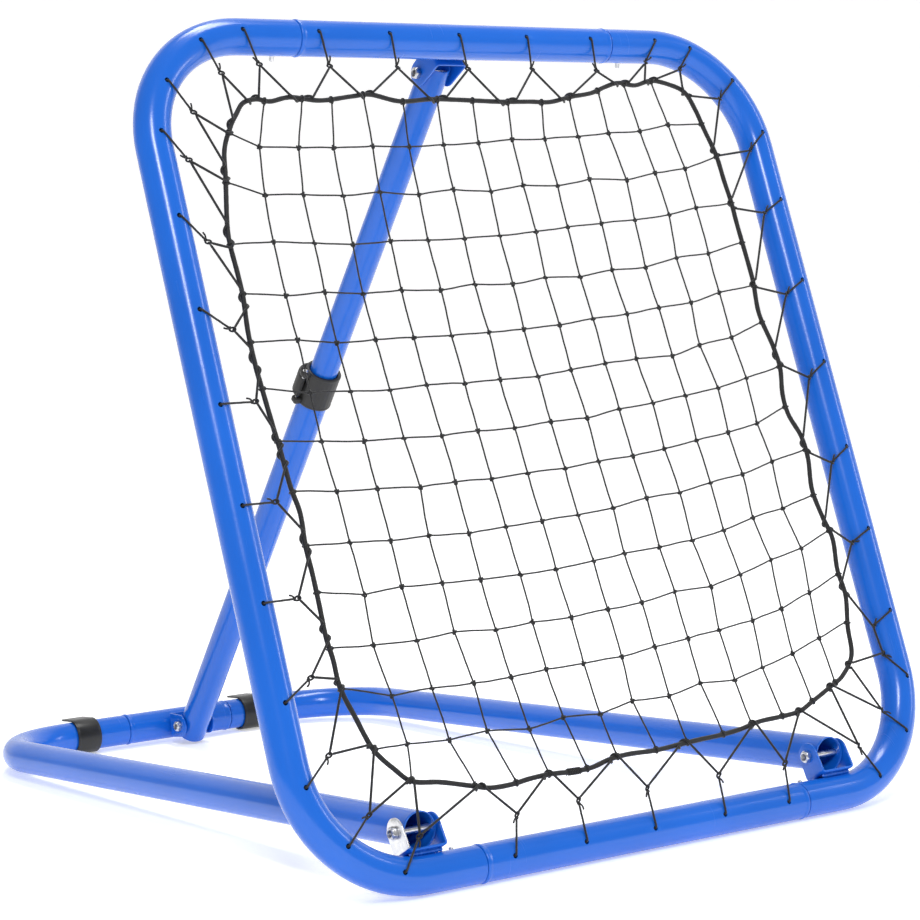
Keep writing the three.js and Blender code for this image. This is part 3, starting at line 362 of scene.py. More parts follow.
def smooth_line(P, step, closed=False):
    """Catmull-Rom line through the points, resampled at about `step`."""
    P = np.asarray(P, float)
    n = len(P)
    out = []
    last = n if closed else n - 1
    for i in range(last):
        p0 = P[(i - 1) % n] if closed or i > 0 else 2 * P[0] - P[1]
        p1, p2 = P[i], P[(i + 1) % n]
        p3 = P[(i + 2) % n] if closed or i + 2 < n else 2 * P[-1] - P[-2]
        m = max(1, round(np.linalg.norm(p2 - p1) / step))
        for k in range(m):
            u = k / m
            out.append(.5 * (2 * p1 + (p2 - p0) * u + (2 * p0 - 5 * p1 + 4 * p2 - p3) * u ** 2 + (3 * p1 - p0 - 3 * p2 + p3) * u ** 3))
    if not closed:
        out.append(P[-1])
    return np.array(out)


def strip(piece, line, normals, across, halfs, thick, mats=None, group_mat=0, round_edge=0.7, n_side=3):
    """A bent strip of sheet: a line of middle points, the sheet's normal at each, and its half width at each."""
    P = []
    h = thick / 2
    for p, nrm, w in zip(line, normals, halfs):
        e = min(round_edge, h, w * .6)
        sec = []
        for sx, sn in ((1, 1), (-1, 1), (-1, -1), (1, -1)):
            arc = [(math.cos(a), math.sin(a)) for a in np.linspace(0, math.pi / 2, n_side + 1)]
            if (sx, sn) in ((-1, 1), (1, -1)):
                arc = arc[::-1]
            sec += [(sx * (w - e + e * c), sn * (h - e + e * d)) for c, d in arc]
        P.append([np.asarray(p) + np.asarray(across) * a + np.asarray(nrm) * b for a, b in sec])
    piece.rings(np.array(P), np.arange(len(P)) * 1.0, mat=group_mat)


def hexr(a, corner, flat_turn=0.0):
    """Radius of a hexagon of corner radius `corner` in direction a."""
    k = math.pi / 3
    b = (a + flat_turn) % k - k / 2
    return corner * math.cos(k / 2) / np.cos(b)


def hex_piece(piece, axis, at, x, y, depth, corner, bore, socket=None, mat=0, flange=0.0, n=60, turn=0.0):
    """Hexagonal head or nut, its seat at `at`, reaching `depth` along axis, chamfered; bore is round, socket six-sided."""
    ap = corner * math.cos(math.pi / 6)
    def rad(s, r, a):
        kind, value = r
        if kind == "hex":
            return np.minimum(hexr(a, corner), value)
        if kind == "socket":
            return hexr(a, value)
        return np.full_like(a, value)
    big = corner * 1.01
    prof = []
    if flange:
        prof += [(0.0, ("round", corner + flange - .3)), (.2, ("round", corner + flange)), (.9, ("round", corner + flange - .1)), (1.5, ("round", corner * .99)), (1.9, ("hex", big))]
    else:
        prof += [(0.0, ("hex", ap * .99)), (.25, ("hex", ap * 1.03)), (.8, ("hex", big))]
    prof += [(depth - 1.3, ("hex", big)), (depth - .7, ("hex", ap * 1.08)), (depth - .2, ("hex", ap * .985)), (depth, ("hex", ap * .93))]
    if socket:
        prof += [(depth, ("socket", socket * 1.12)), (depth - .35, ("socket", socket)), (depth - 2.6, ("socket", socket * .98)), (depth - 3.1, ("round", socket * .3))]
        turned(piece, prof, axis, at, x, y, n=n, mat=mat, radius=rad, wrap=False, turn=turn)
    else:
        prof += [(depth, ("round", bore + .7)), (depth - .6, ("round", bore)), (.6, ("round", bore)), (0.0, ("round", bore + .5))]
        turned(piece, prof, axis, at, x, y, n=n, mat=mat, radius=rad, wrap=True, turn=turn)


def thread_profile(s0, s1, r, pitch=1.25, depth=.55, step=1):
    out = []
    s = s0
    while s < s1 - pitch:
        out += [(s, r), (s + pitch * .15, r), (s + pitch * .5, r - depth), (s + pitch * .62, r - depth)]
        s += pitch
    out.append((s, r))
    return out


# ---- materials -------------------------------------------------------------------
def node(nt, kind, **kw):
    n = nt.nodes.new(kind)
    for k, v in kw.items():
        setattr(n, k, v)
    return n


def start_material(name):
    m = bpy.data.materials.new(name)
    m.use_nodes = True
    nt = m.node_tree
    return m, nt, nt.nodes["Principled BSDF"]


def noise(nt, vector, scale, detail=3.0, rough=.55):
    n = node(nt, "ShaderNodeTexNoise")
    n.inputs["Scale"].default_value = scale
    n.inputs["Detail"].default_value = detail
    n.inputs["Roughness"].default_value = rough
    nt.links.new(vector, n.inputs["Vector"])
    return n.outputs["Fac"]


def ramp(nt, fac, stops):
    r = node(nt, "ShaderNodeValToRGB")
    el = r.color_ramp.elements
    while len(el) < len(stops):
        el.new(.5)
    for e, (pos, col) in zip(el, stops):
        e.position = pos
        e.color = (*col, 1.0) if len(col) == 3 else col
    nt.links.new(fac, r.inputs["Fac"])
    return r.outputs["Color"]


def maprange(nt, fac, a, b, c, d):
    r = node(nt, "ShaderNodeMapRange")
    for k, v in zip(("From Min", "From Max", "To Min", "To Max"), (a, b, c, d)):
        r.inputs[k].default_value = v
    nt.links.new(fac, r.inputs["Value"])
    return r.outputs["Result"]


def mix(nt, fac, a, b, blend="MIX"):
    m = node(nt, "ShaderNodeMix", data_type="RGBA", blend_type=blend)
    for sock, v in ((m.inputs[0], fac), (m.inputs[6], a), (m.inputs[7], b)):
        if isinstance(v, (tuple, list)):
            sock.default_value = (*v, 1.0)
        elif isinstance(v, (int, float)):
            sock.default_value = v
        else:
            nt.links.new(v, sock)
    return m.outputs[2]


def bumps(nt, bsdf, *layers):
    """Bump nodes in a chain: (height, strength, distance in metres)."""
    last = None
    for h, strength, dist in layers:
        b = node(nt, "ShaderNodeBump")
        b.inputs["Strength"].default_value = strength
        b.inputs["Distance"].default_value = dist
        nt.links.new(h, b.inputs["Height"])
        if last is not None:
            nt.links.new(last, b.inputs["Normal"])
        last = b.outputs["Normal"]
    nt.links.new(last, bsdf.inputs["Normal"])


def scaled(nt, vector, scale):
    m = node(nt, "ShaderNodeMapping")
    m.inputs["Scale"].default_value = scale
    nt.links.new(vector, m.inputs["Vector"])
    return m.outputs["Vector"]


def paint(name, scuffs=0.0):
    """Gloss powder coat: a fine orange peel, slow colour drift, faint scuffs and thin paint on edges."""
    m, nt, b = start_material(name)
    co = node(nt, "ShaderNodeTexCoord")
    obj, uv = co.outputs["Object"], co.outputs["UV"]
    drift = noise(nt, obj, 9.0, 2.0)
    base = ramp(nt, drift, [(.3, PAINT_DEEP), (.7, PAINT_LIGHT)])
    speck = noise(nt, obj, 2600.0, 2.0)
    base = mix(nt, maprange(nt, speck, .35, .7, 0.0, .10), base, PAINT_SPECK)
    geo = node(nt, "ShaderNodeNewGeometry")
    edge = maprange(nt, geo.outputs["Pointiness"], .53, .60, 0.0, 1.0)
    worn = node(nt, "ShaderNodeMath", operation="MULTIPLY")
    nt.links.new(edge, worn.inputs[0])
    nt.links.new(maprange(nt, noise(nt, obj, 160.0, 3.0), .42, .62, 0.0, .55), worn.inputs[1])
    base = mix(nt, worn.outputs[0], base, PAINT_EDGE)
    scratch = noise(nt, scaled(nt, obj, (900.0, 14.0, 14.0)), 1.0, 2.0)
    rub = noise(nt, obj, 22.0, 3.0)
    fine = node(nt, "ShaderNodeMath", operation="MULTIPLY")
    nt.links.new(maprange(nt, scratch, .66, .74, 0.0, 1.0), fine.inputs[0])
    nt.links.new(maprange(nt, rub, .52, .7, 0.0, 1.0), fine.inputs[1])
    if scuffs:
        band = noise(nt, scaled(nt, uv, (3.0, 60.0, 1.0)), 1.0, 3.0)
        base = mix(nt, maprange(nt, band, .62, .75, 0.0, scuffs), base, PAINT_EDGE)
    nt.links.new(base, b.inputs["Base Color"])
    rough = node(nt, "ShaderNodeMath", operation="ADD")
    nt.links.new(maprange(nt, rub, .3, .7, .19, .27), rough.inputs[0])
    nt.links.new(maprange(nt, fine.outputs[0], 0.0, 1.0, 0.0, .22), rough.inputs[1])
    nt.links.new(rough.outputs[0], b.inputs["Roughness"])
    b.inputs["Specular IOR Level"].default_value = .42
    b.inputs["Coat Weight"].default_value = .2
    b.inputs["Coat Roughness"].default_value = .13
    peel = noise(nt, obj, 420.0, 2.0, .45)
    bumps(nt, b, (peel, .10, .0004), (speck, .05, .0001), (fine.outputs[0], -.12, .00005))
    return m


def zinc(name, tone=.62):
    """Bright zinc plate: cloudy grey and fine crystals."""
    m, nt, b = start_material(name)
    obj = node(nt, "ShaderNodeTexCoord").outputs["Object"]
    cloud, grain = noise(nt, obj, 260.0, 4.0), noise(nt, obj, 1900.0, 2.0)
    base = ramp(nt, cloud, [(.3, (tone * .82, tone * .83, tone * .85)), (.55, (tone, tone, tone * 1.01)), (.75, (tone * 1.22, tone * 1.2, tone * 1.15))])
    nt.links.new(base, b.inputs["Base Color"])
    b.inputs["Metallic"].default_value = 1.0
    nt.links.new(maprange(nt, cloud, .3, .7, .24, .38), b.inputs["Roughness"])
    bumps(nt, b, (grain, .05, .0001), (cloud, .03, .0003))
    return m


def plastic(name, base0, base1, rough0, rough1, ribs=False):
    """Black moulded plastic: spark-eroded grain, slight greying, duller where it has been handled."""
    m, nt, b = start_material(name)
    obj = node(nt, "ShaderNodeTexCoord").outputs["Object"]
    slow, grain = noise(nt, obj, 55.0, 3.0), noise(nt, obj, 2100.0, 3.0)
    base = ramp(nt, slow, [(.3, base0), (.72, base1)])
    base = mix(nt, maprange(nt, grain, .5, .75, 0.0, .25), base, tuple(c * 1.9 for c in base1))
    nt.links.new(base, b.inputs["Base Color"])
    nt.links.new(maprange(nt, slow, .3, .7, rough0, rough1), b.inputs["Roughness"])
    b.inputs["Specular IOR Level"].default_value = .45
    bumps(nt, b, (grain, .22, .00012), (slow, .05, .0006))
    return m


def cord_material(name, base0, base1, pitch, turns, depth, cross=False, rough=.62):
    """Twisted or braided cord: filaments run round it at `pitch` metres a turn, `turns` strands."""
    m, nt, b = start_material(name)
    co = node(nt, "ShaderNodeTexCoord")
    obj, uv = co.outputs["Object"], co.outputs["UV"]
    sep = node(nt, "ShaderNodeSeparateXYZ")
    nt.links.new(uv, sep.inputs[0])

    def stripes(sign):
        a = node(nt, "ShaderNodeMath", operation="MULTIPLY")
        a.inputs[1].default_value = turns * 2 * math.pi / pitch
        nt.links.new(sep.outputs["X"], a.inputs[0])
        c = node(nt, "ShaderNodeMath", operation="MULTIPLY_ADD")
        c.inputs[1].default_value = sign * turns * 2 * math.pi
        nt.links.new(sep.outputs["Y"], c.inputs[0])
        nt.links.new(a.outputs[0], c.inputs[2])
        s = node(nt, "ShaderNodeMath", operation="SINE")
        nt.links.new(c.outputs[0], s.inputs[0])
        return s.outputs[0]

    weave = stripes(1.0)
    if cross:
        w = node(nt, "ShaderNodeMath", operation="MULTIPLY")
        nt.links.new(weave, w.inputs[0])
        nt.links.new(stripes(-1.0), w.inputs[1])
        weave = w.outputs[0]
    lift = maprange(nt, weave, -1.0, 1.0, 0.0, 1.0)
    fuzz = noise(nt, obj, 1500.0, 3.0)
    # painted shade: the colour is darker in the grooves between strands and lighter on their crests, following the
    # same weave height as the bump
    base = mix(nt, lift, base0, base1)
    base = mix(nt, maprange(nt, fuzz, .55, .8, 0.0, .35), base, tuple(min(1.0, c * 2.2) for c in base1))
    nt.links.new(base, b.inputs["Base Color"])
    nt.links.new(maprange(nt, fuzz, .3, .7, rough - .1, rough + .12), b.inputs["Roughness"])
    b.inputs["Specular IOR Level"].default_value = .4
    b.inputs["Sheen Weight"].default_value = .25
    b.inputs["Sheen Roughness"].default_value = .4
    bumps(nt, b, (lift, .55, depth), (fuzz, .3, .0001))
    return m


PAINT_DEEP, PAINT_LIGHT = (.0035, .112, .56), (.005, .128, .63)
PAINT_SPECK, PAINT_EDGE = (.014, .17, .74), (.06, .25, .78)
mat_paint = paint("blue_powder_coat")
mat_paint_rubbed = paint("blue_powder_coat_rubbed", scuffs=.10)
mat_zinc = zinc("zinc_plate")
# bright zinc for the pins and hinge bolts; it also paints a highlight on the lit outer ear of the left hinge bracket
mat_bright_zinc_and_painted_highlight = zinc("bright_zinc_and_painted_highlight", .74)
mat_clip = plastic("black_clip_plastic", (.0065, .0068, .0075), (.012, .0125, .0135), .30, .42)
mat_collar = plastic("black_collar_plastic", (.012, .0118, .0115), (.022, .0215, .021), .42, .56)
mat_thread = cord_material("black_net_twine", (.0045, .0045, .005), (.016, .016, .018), .0042, 3, .00022)
mat_rope = cord_material("black_braided_rope", (.0035, .0035, .004), (.013, .013, .0145), .0105, 4, .00035, cross=True)
mat_lace = cord_material("black_elastic_cord", (.004, .004, .0045), (.014, .014, .0155), .0052, 3, .00022, cross=True)
mat_weld = paint("blue_powder_coat_on_weld")

# ---- frame tubes ---------------------------------------------------------------------
CU, CV = HALF_W - CORNER_R, HALF_H - CORNER_R


def on_tube(u, v):
    """Nearest point of the frame's centre line."""
    s, t = (1 if u >= 0 else -1), (1 if v >= 0 else -1)
    if abs(u) > CU and abs(v) > CV:
        d = math.hypot(abs(u) - CU, abs(v) - CV)
        return s * (CU + (abs(u) - CU) / d * CORNER_R), t * (CV + (abs(v) - CV) / d * CORNER_R)
    return (s * HALF_W, v) if abs(u) > CU else (u, t * HALF_H)


holes = [on_tube(*l[0]) for l in LACING]
PIN_ANGLE = math.radians(150)
pins = []
for s in (-1, 1):
    for t in (-1, 1):
        u = s * PIN_U
        pins.append((s, t, np.array([u, t * HALF_H, 0.0]), np.array([0.0, t * math.cos(PIN_ANGLE), -math.sin(PIN_ANGLE)])))


def drill(o, group, tools):
    """Cuts round holes (from, to, radius in group mm) through o and sets the tube's normals beside them."""
    cutter = Piece()
    for a, b, r in tools:
        a, b = np.array(a, float), np.array(b, float)
        d = (b - a) / np.linalg.norm(b - a)
        x = np.cross(d, (1.0, .3, .2))
        x /= np.linalg.norm(x)
        cutter.rings(np.array([ring(a, x, np.cross(d, x), r, 20), ring(b, x, np.cross(d, x), r, 20)]))
    c = cutter.done("cutter", group, mat_paint, None, None)
    mod = o.modifiers.new("cut", "BOOLEAN")
    mod.operation, mod.solver, mod.object = "DIFFERENCE", "EXACT", c
    dg = bpy.context.evaluated_depsgraph_get()
    mesh = bpy.data.meshes.new_from_object(o.evaluated_get(dg))
    o.modifiers.clear()
    old, o.data = o.data, mesh
    name = old.name
    bpy.data.meshes.remove(old)
    mesh.name = name
    bpy.data.objects.remove(c)
    mesh.polygons.foreach_set("use_smooth", np.ones(len(mesh.polygons), bool))
    mesh.set_sharp_from_angle(angle=math.radians(38))
    n_loops = len(mesh.loops)
    normals = np.zeros(n_loops * 3)
    mesh.corner_normals.foreach_get("vector", normals)
    normals = normals.reshape(-1, 3)
    co = np.zeros(len(mesh.vertices) * 3)
    mesh.vertices.foreach_get("co", co)
    local = (co.reshape(-1, 3) * 1000 - group.at) @ group.turn
    vi = np.zeros(n_loops, int)
    mesh.loops.foreach_get("vertex_index", vi)
    for p in mesh.polygons:
        if p.loop_total == 4 and p.area * 1e6 > 9.0:
            continue
        loops = range(p.loop_start, p.loop_start + p.loop_total)
        fn = group.turn.T @ np.array(p.normal)
        for l in loops:
            q = local[vi[l]]
            cu, cv = on_tube(q[0], q[1])
            rad = np.array([q[0] - cu, q[1] - cv, q[2]])
            size = np.linalg.norm(rad)
            if size < 1 or not (abs(size - TUBE_R) < .12 or abs(size - TUBE_BORE) < .12):
                continue
            rad /= size
            k = rad @ fn
            if abs(k) > .93:
                normals[l] = group.turn @ (rad if k > 0 else -rad)
    mesh.normals_split_custom_set(normals)
    return o


def hole_tool(u, v):
    return (u, v, 11.0), (u, v, 20.0), 2.25


for s in (-1, 1):
    head = 0.0 if s > 0 else 180.0
    run = Run((s * SEAM_TOP, HALF_H), head, [("line", CU - SEAM_TOP), ("bend", CORNER_R, -90.0 * s), ("line", 2 * CV), ("bend", CORNER_R, -90.0 * s), ("line", CU - SEAM_BOTTOM)])
    p = Piece()
    swept_tube(p, run, plain_outline(run, TUBE_R, TUBE_BORE))
    tag = "left" if s < 0 else "right"
    o = p.done(f"frame_side_{tag}_tube", FRAME, mat_paint, "frame", "blue_paint", [f"frame_side_{tag}"])
    mine = [h for h in holes if h[0] * s > 0 and abs(h[0]) > (SEAM_TOP if h[1] > 0 else SEAM_BOTTOM)]
    tools = [hole_tool(*h) for h in mine] + [(c + d * 9, c + d * 20, 2.7) for ss, t, c, d in pins if ss == s]
    drill(o, FRAME, tools)


def centre_tube(piece, half, y, r=TUBE_R):
    """Straight tube with a swaged bead and a reduced end at each side."""
    prof = []
    for k in (-1, 1):
        e = [(half + SPIGOT_LEN, SPIGOT_BORE), (half + SPIGOT_LEN, SPIGOT_R - .6), (half + SPIGOT_LEN - .8, SPIGOT_R), (half + .3, SPIGOT_R), (half - .6, SPIGOT_R + .1), (half - .7, r - .6),
             (half - .95, r - .05), (half - 1.6, r + .45), (half - 2.6, r + .68), (half - 3.8, r + .55), (half - 5.0, r + .18), (half - 6.2, r), (half - 9, r)]
        if k < 0:
            prof += [(-a, b) for a, b in e] + [(x, r) for x in np.linspace(-half + 18, half - 18, 19)]
        else:
            prof += [(a, b) for a, b in reversed(e)]
    prof += [(x, SPIGOT_BORE) for x in np.linspace(half + SPIGOT_LEN - 4, -half - SPIGOT_LEN + 4, 21)]
    turned(piece, prof, (1, 0, 0), (0, y, 0), (0, 0, 1), (0, -1, 0), n=72)


for t, half, name in ((1, SEAM_TOP, "frame_top_tube"), (-1, SEAM_BOTTOM, "frame_bottom_tube")):
    p = Piece()
    centre_tube(p, half, t * HALF_H)
    o = p.done(name + "_shell", FRAME, mat_paint, "frame", "blue_paint", [name])
    tools = [hole_tool(*h) for h in holes if h[1] * t > 0 and abs(h[0]) < half] + [(c + d * 9, c + d * 20, 2.7) for s, tt, c, d in pins if tt == t]
    drill(o, FRAME, tools)

for s, t, c, d in pins:
    p = Piece()
    x = np.array([1.0, 0, 0])
    y = np.cross(d, x)
    turned(p, [(9.5, .5), (9.5, 2.1), (15.0, 2.1), (19.6, 2.1), (20.4, 1.95), (20.9, 1.5), (21.15, .8), (21.2, .2)], d, c, x, y, n=28, wrap=False)
    turned(p, [(15.2, 2.25), (15.2, 3.5), (15.75, 3.5), (16.2, 3.1), (16.35, 2.7), (16.2, 2.25)], d, c, x, y, n=28)
    tag = ("t" if t > 0 else "b") + ("r" if s > 0 else "l")
    p.done(f"frame_pin_{tag}_button", FRAME, mat_bright_zinc_and_painted_highlight, "frame", "zinc", [f"frame_pin_{tag}"])


# ---- brackets, bolts and nuts --------------------------------------------------------------
def bracket(name, node, group, tube_at, pivot, x0, inner, half_plate, rounding, lift, mats, body, painted_lit_ear=False):
    dx, dz = pivot[0] - tube_at[0], pivot[1] - tube_at[1]
    dist = math.hypot(dx, dz)
    ey, ez = np.array([0, dx / dist, dz / dist]), np.array([1.0, 0, 0])
    ex = np.cross(ey, ez)
    base = np.array([x0, *tube_at], float)
    near = TUBE_R + .2 + lift
    half_x = inner + EAR_T / 2
    bend = 2.6
    line, nrm, width = [], [], []
    top = dist
    fr = np.linspace(90, 0, 15)
    def put(x, h, nx, ny, w):
        line.append(base + ez * x + ey * h)
        nrm.append(ez * nx + ey * ny)
        width.append(w)
    for a in fr:
        a = math.radians(a)
        put(-half_x, top + rounding * math.sin(a), -1, 0, max(rounding * math.cos(a), .6))
    n_mid = 6
    h_bend = near + EAR_T / 2 + bend
    for k in range(1, n_mid + 1):
        h = top + (h_bend - top) * k / n_mid
        put(-half_x, h, -1, 0, rounding + (half_plate - rounding) * k / n_mid)
    for a in np.linspace(0, 90, 7)[1:]:
        a = math.radians(a)
        put(-half_x + bend - bend * math.cos(a), h_bend - bend * math.sin(a), -math.cos(a), -math.sin(a), half_plate)
    left = list(zip(line, nrm, width))
    for x in np.linspace(-half_x + bend, half_x - bend, 6)[1:-1]:
        put(x, near + EAR_T / 2, 0, -1, half_plate)
    for q, n, w in reversed(left):
        line.append(q - 2 * ez * ((q - base) @ ez))
        nrm.append(n - 2 * ez * (n @ ez))
        width.append(w)
    p = Piece()
    strip(p, line, nrm, ex, width, EAR_T, n_side=3)
    # painted highlight: the outer ear of the left bracket, which faces the lit side, takes the bright zinc material in
    # place of the blue paint
    if painted_lit_ear:
        quads = p.q[0]
        v = p.v[0]
        mid = v[quads].mean(axis=1)
        p.qm[0] = (((mid - base) @ ez < -half_x + 3.5) & ((mid - base) @ ey > near + 3.0)).astype(int)
        p.tm[0][:] = 0
        p.tm[0][: len(p.tm[0]) // 2] = 1
    # weld between the plate and the tube
    for side in (-1, 1):
        pts = []
        for x in np.linspace(-half_x + 3, half_x - 3, 26):
            pts.append(base + ez * x + ex * side * (5.0 + lift * .4) + ey * (near - .5 - lift * .35))
        wob = 1 + .10 * np.sin(np.arange(26) * 1.9 + side) + rng.uniform(-.05, .05, 26)
        cord(p, np.array(pts), 1.05 + lift * .45, n=10, up=tuple(ey), swell=lambda d, a: np.broadcast_to(wob[:, None], (26, 10)))
    return p.done(name, group, mats, body, "blue_paint", [node])


def bolt_set(tag, group, at, inner, sign, body, nodes, reach=.3, mat=mat_zinc):
    """Bolt along x with its head on the side of sign, washer faces, and its nut on the other side."""
    out = inner + EAR_T + .15
    ax = np.array([float(sign), 0, 0])
    y, z = np.array([0, 1.0, 0]), np.array([0, 0, 1.0])
    b = Piece()
    turned(b, [(-out - reach, 1.0), (-out - reach, 2.2), (-out - reach + .5, 2.75)] + thread_profile(-out - reach + .8, -out + 2.4, 2.95) + [(-out + 3, 2.95), (out + .5, 2.95), (out + .5, 1.0)], ax, at, y, z * sign, n=32, wrap=False)
    hex_piece(b, ax, np.array(at, float) + ax * out, y, z * sign, 4.0, 5.8, 0, socket=2.6, turn=.35)
    b.done(f"{tag}_bolt_turned", group, mat, body, "zinc", [nodes[0]])
    nutp = Piece()
    hex_piece(nutp, -ax, np.array(at, float) - ax * out, y, -z * sign, 4.6, 5.8, 3.1, turn=.15)
    turned(nutp, [(4.4, 3.4), (4.4, 4.5), (5.0, 4.3), (5.3, 3.8), (5.1, 3.3), (4.7, 3.3)], -ax, np.array(at, float) - ax * out, y, z, n=32)
    nutp.done(f"{tag}_nut_turned", group, mat, body, "zinc", [nodes[1]])


HINGE_INNER, HEAD_INNER, FOOT_INNER = 17.1, 15.0, 16.5
hinge_local, head_local = to_frame(HINGE), to_frame(STRUT_HEAD)
for s, tag in ((-1, "left"), (1, "right")):
    # the left bracket's outer ear is painted bright: a painted highlight on its lit face
    bracket(f"hinge_bracket_{tag}_sheet", f"hinge_bracket_{tag}", FRAME, (-HALF_H, 0), hinge_local, s * BASE_HALF_W, HINGE_INNER, 12.5, 12, 1.9, [mat_paint, mat_bright_zinc_and_painted_highlight], "frame", painted_lit_ear=s < 0)
    bolt_set(f"hinge_{tag}", FRAME, (s * BASE_HALF_W, *hinge_local), HINGE_INNER, 1, "frame", (f"hinge_bolt_{tag}", f"hinge_nut_{tag}"), mat=mat_bright_zinc_and_painted_highlight)
bracket("strut_head_bracket_sheet", "strut_head_bracket", FRAME, (HALF_H, 0), head_local, STRUT_X, HEAD_INNER, 13, 12, .1, mat_paint, "frame")
bolt_set("strut_head", FRAME, (STRUT_X, *head_local), HEAD_INNER, 1, "frame", ("strut_head_bolt", "strut_head_nut"))
bracket("strut_foot_bracket_sheet", "strut_foot_bracket", ROOT, (BACK_Y, BACK_Z), STRUT_FOOT, STRUT_X, FOOT_INNER, 13, 12, .1, mat_paint, "base")
bolt_set("strut_foot", ROOT, (STRUT_X, *STRUT_FOOT), FOOT_INNER, 1, "base", ("strut_foot_bolt", "strut_foot_nut"))

# ---- base -----------------------------------------------------------------------------------
back_at = along * BACK_Y
for s, tag in ((-1, "left"), (1, "right")):
    run = Run((s * BASE_HALF_W, along * BASE_START), 90.0, [("line", back_at - BASE_CORNER_R - along * BASE_START), ("bend", BASE_CORNER_R, 90.0 * s), ("line", BASE_HALF_W - BASE_CORNER_R - BASE_SEAM)])
    p = Piece()
    swept_tube(p, run, plain_outline(run, TUBE_R, TUBE_BORE, lip=.7))
    p.done(f"base_side_{tag}_tube", BASE, mat_paint, "base", "blue_paint", [f"base_side_{tag}"])
p = Piece()
centre_tube(p, BASE_SEAM, back_at)
p.done("base_back_tube_shell", BASE, mat_paint, "base", "blue_paint", ["base_back_tube"])

# floor clips: a band round the tube with a flat tab that stands out behind
for x, tag, w in ((-114, "left", 28), (94, "right", 28)):
    line, nrm = [], []
    R = 17.62
    ang = np.radians(np.arange(78, 337, 6))
    t0 = np.array([math.cos(ang[0]), math.sin(ang[0])]) * R
    for k in np.linspace(0, 1, 7)[:-1]:
        q = np.array([22.4, 16.0]) * (1 - k) + (t0 + np.array([1.2, 0])) * k
        line.append((x, BACK_Y + q[0], BACK_Z + q[1]))
        nrm.append((0, 0, 1.0))
    for a in ang:
        line.append((x, BACK_Y + R * math.cos(a), BACK_Z + R * math.sin(a)))
        nrm.append((0, math.cos(a), math.sin(a)))
    a = ang[-1]
    line.append((x, BACK_Y + (R + .5) * math.cos(a + .09), BACK_Z + (R + .5) * math.sin(a + .09)))
    nrm.append((0, math.cos(a + .6), math.sin(a + .6)))
    width = [w / 2 - .9, w / 2 - .15] + [w / 2] * (len(line) - 4) + [w / 2 - .15, w / 2 - .9]
    p = Piece()
    strip(p, line, nrm, (1.0, 0, 0), width, 2.1, round_edge=1.0, n_side=4)
    for k in (-1, 1):
        rib = [np.array((x + k * (w / 2 - 2.2), BACK_Y + 18.25 * math.cos(b), BACK_Z + 18.25 * math.sin(b))) for b in np.radians(np.arange(88, 246, 6))]
        cord(p, np.array(rib), .55, n=8, up=(1, 0, 0))
    p.done(f"floor_clip_{tag}_band", ROOT, mat_clip, "base", "black_plastic", [f"floor_clip_{tag}"])

# ---- strut --------------------------------------------------------------------------------------
X, Y, Z = np.array([1.0, 0, 0]), np.array([0, 1.0, 0]), np.array([0, 0, 1.0])
def straight_tube(piece, s0, s1, r, bore, lip=.5):
    prof = [(s0, (r + bore) / 2), (s0, r - lip * .6), (s0 + lip * .3, r - lip * .2), (s0 + lip, r)] + [(s, r) for s in np.linspace(s0 + 4, s1 - 4, 24)]
    prof += [(s1 - lip, r), (s1 - lip * .3, r - lip * .2), (s1, r - lip * .6), (s1, (r + bore) / 2), (s1, bore + .2), (s1 - .3, bore)]
    prof += [(s, bore) for s in np.linspace(s1 - 4, s0 + 4, 24)] + [(s0 + .3, bore), (s0, bore + .2)]
    turned(piece, prof, Y, (0, 0, 0), Z, X, n=72)


p = Piece()
straight_tube(p, -12.5, STRUT_OUT_LEN, STRUT_OUT_R, STRUT_OUT_BORE)
p.done("strut_lower_tube_shell", STRUT, mat_paint, "strut_lower", "blue_paint", ["strut_lower_tube"])
p = Piece()
straight_tube(p, STRUT_IN_START, strut_len + 9.3, STRUT_IN_R, STRUT_IN_BORE)
p.done("strut_upper_tube_shell", STRUT, mat_paint_rubbed, "strut_upper", "blue_paint", ["strut_upper_tube"])

# clamp collar: faint ribs along it, rolled rims, a gripping mouth at the top
def collar_radius(s, r, a):
    if r < 17.6:
        return np.full_like(a, r)
    ribs = np.abs(np.sin(a * 13)) ** .5 * .16
    fade = 1.0 if CLAMP_FROM + 3 < s < CLAMP_TO - 3 else 0.0
    return r - .16 * fade + ribs * fade - .16 * (1 - fade) * 0
p = Piece()
prof = [(CLAMP_FROM, 16.6), (CLAMP_FROM, 17.2), (CLAMP_FROM + .3, 17.7), (CLAMP_FROM + 1.0, 18.05), (CLAMP_FROM + 2.4, 18.1), (CLAMP_FROM + 3.0, 17.8), (CLAMP_FROM + 3.4, 17.9)]
prof += [(s, 17.9) for s in np.linspace(CLAMP_FROM + 5, CLAMP_TO - 5, 12)]
prof += [(CLAMP_TO - 3.4, 17.9), (CLAMP_TO - 3.0, 17.8), (CLAMP_TO - 2.4, 18.1), (CLAMP_TO - 1.0, 18.05), (CLAMP_TO - .3, 17.6), (CLAMP_TO, 17.0), (CLAMP_TO + .1, 16.0), (CLAMP_TO - .2, 14.9), (CLAMP_TO - 1.0, 14.3),
         (STRUT_OUT_LEN + .7, 14.3), (STRUT_OUT_LEN + .6, 15.6), (CLAMP_FROM + .6, 15.6), (CLAMP_FROM + .1, 16.0)]
turned(p, prof, Y, (0, 0, 0), Z, X, n=208, radius=collar_radius)


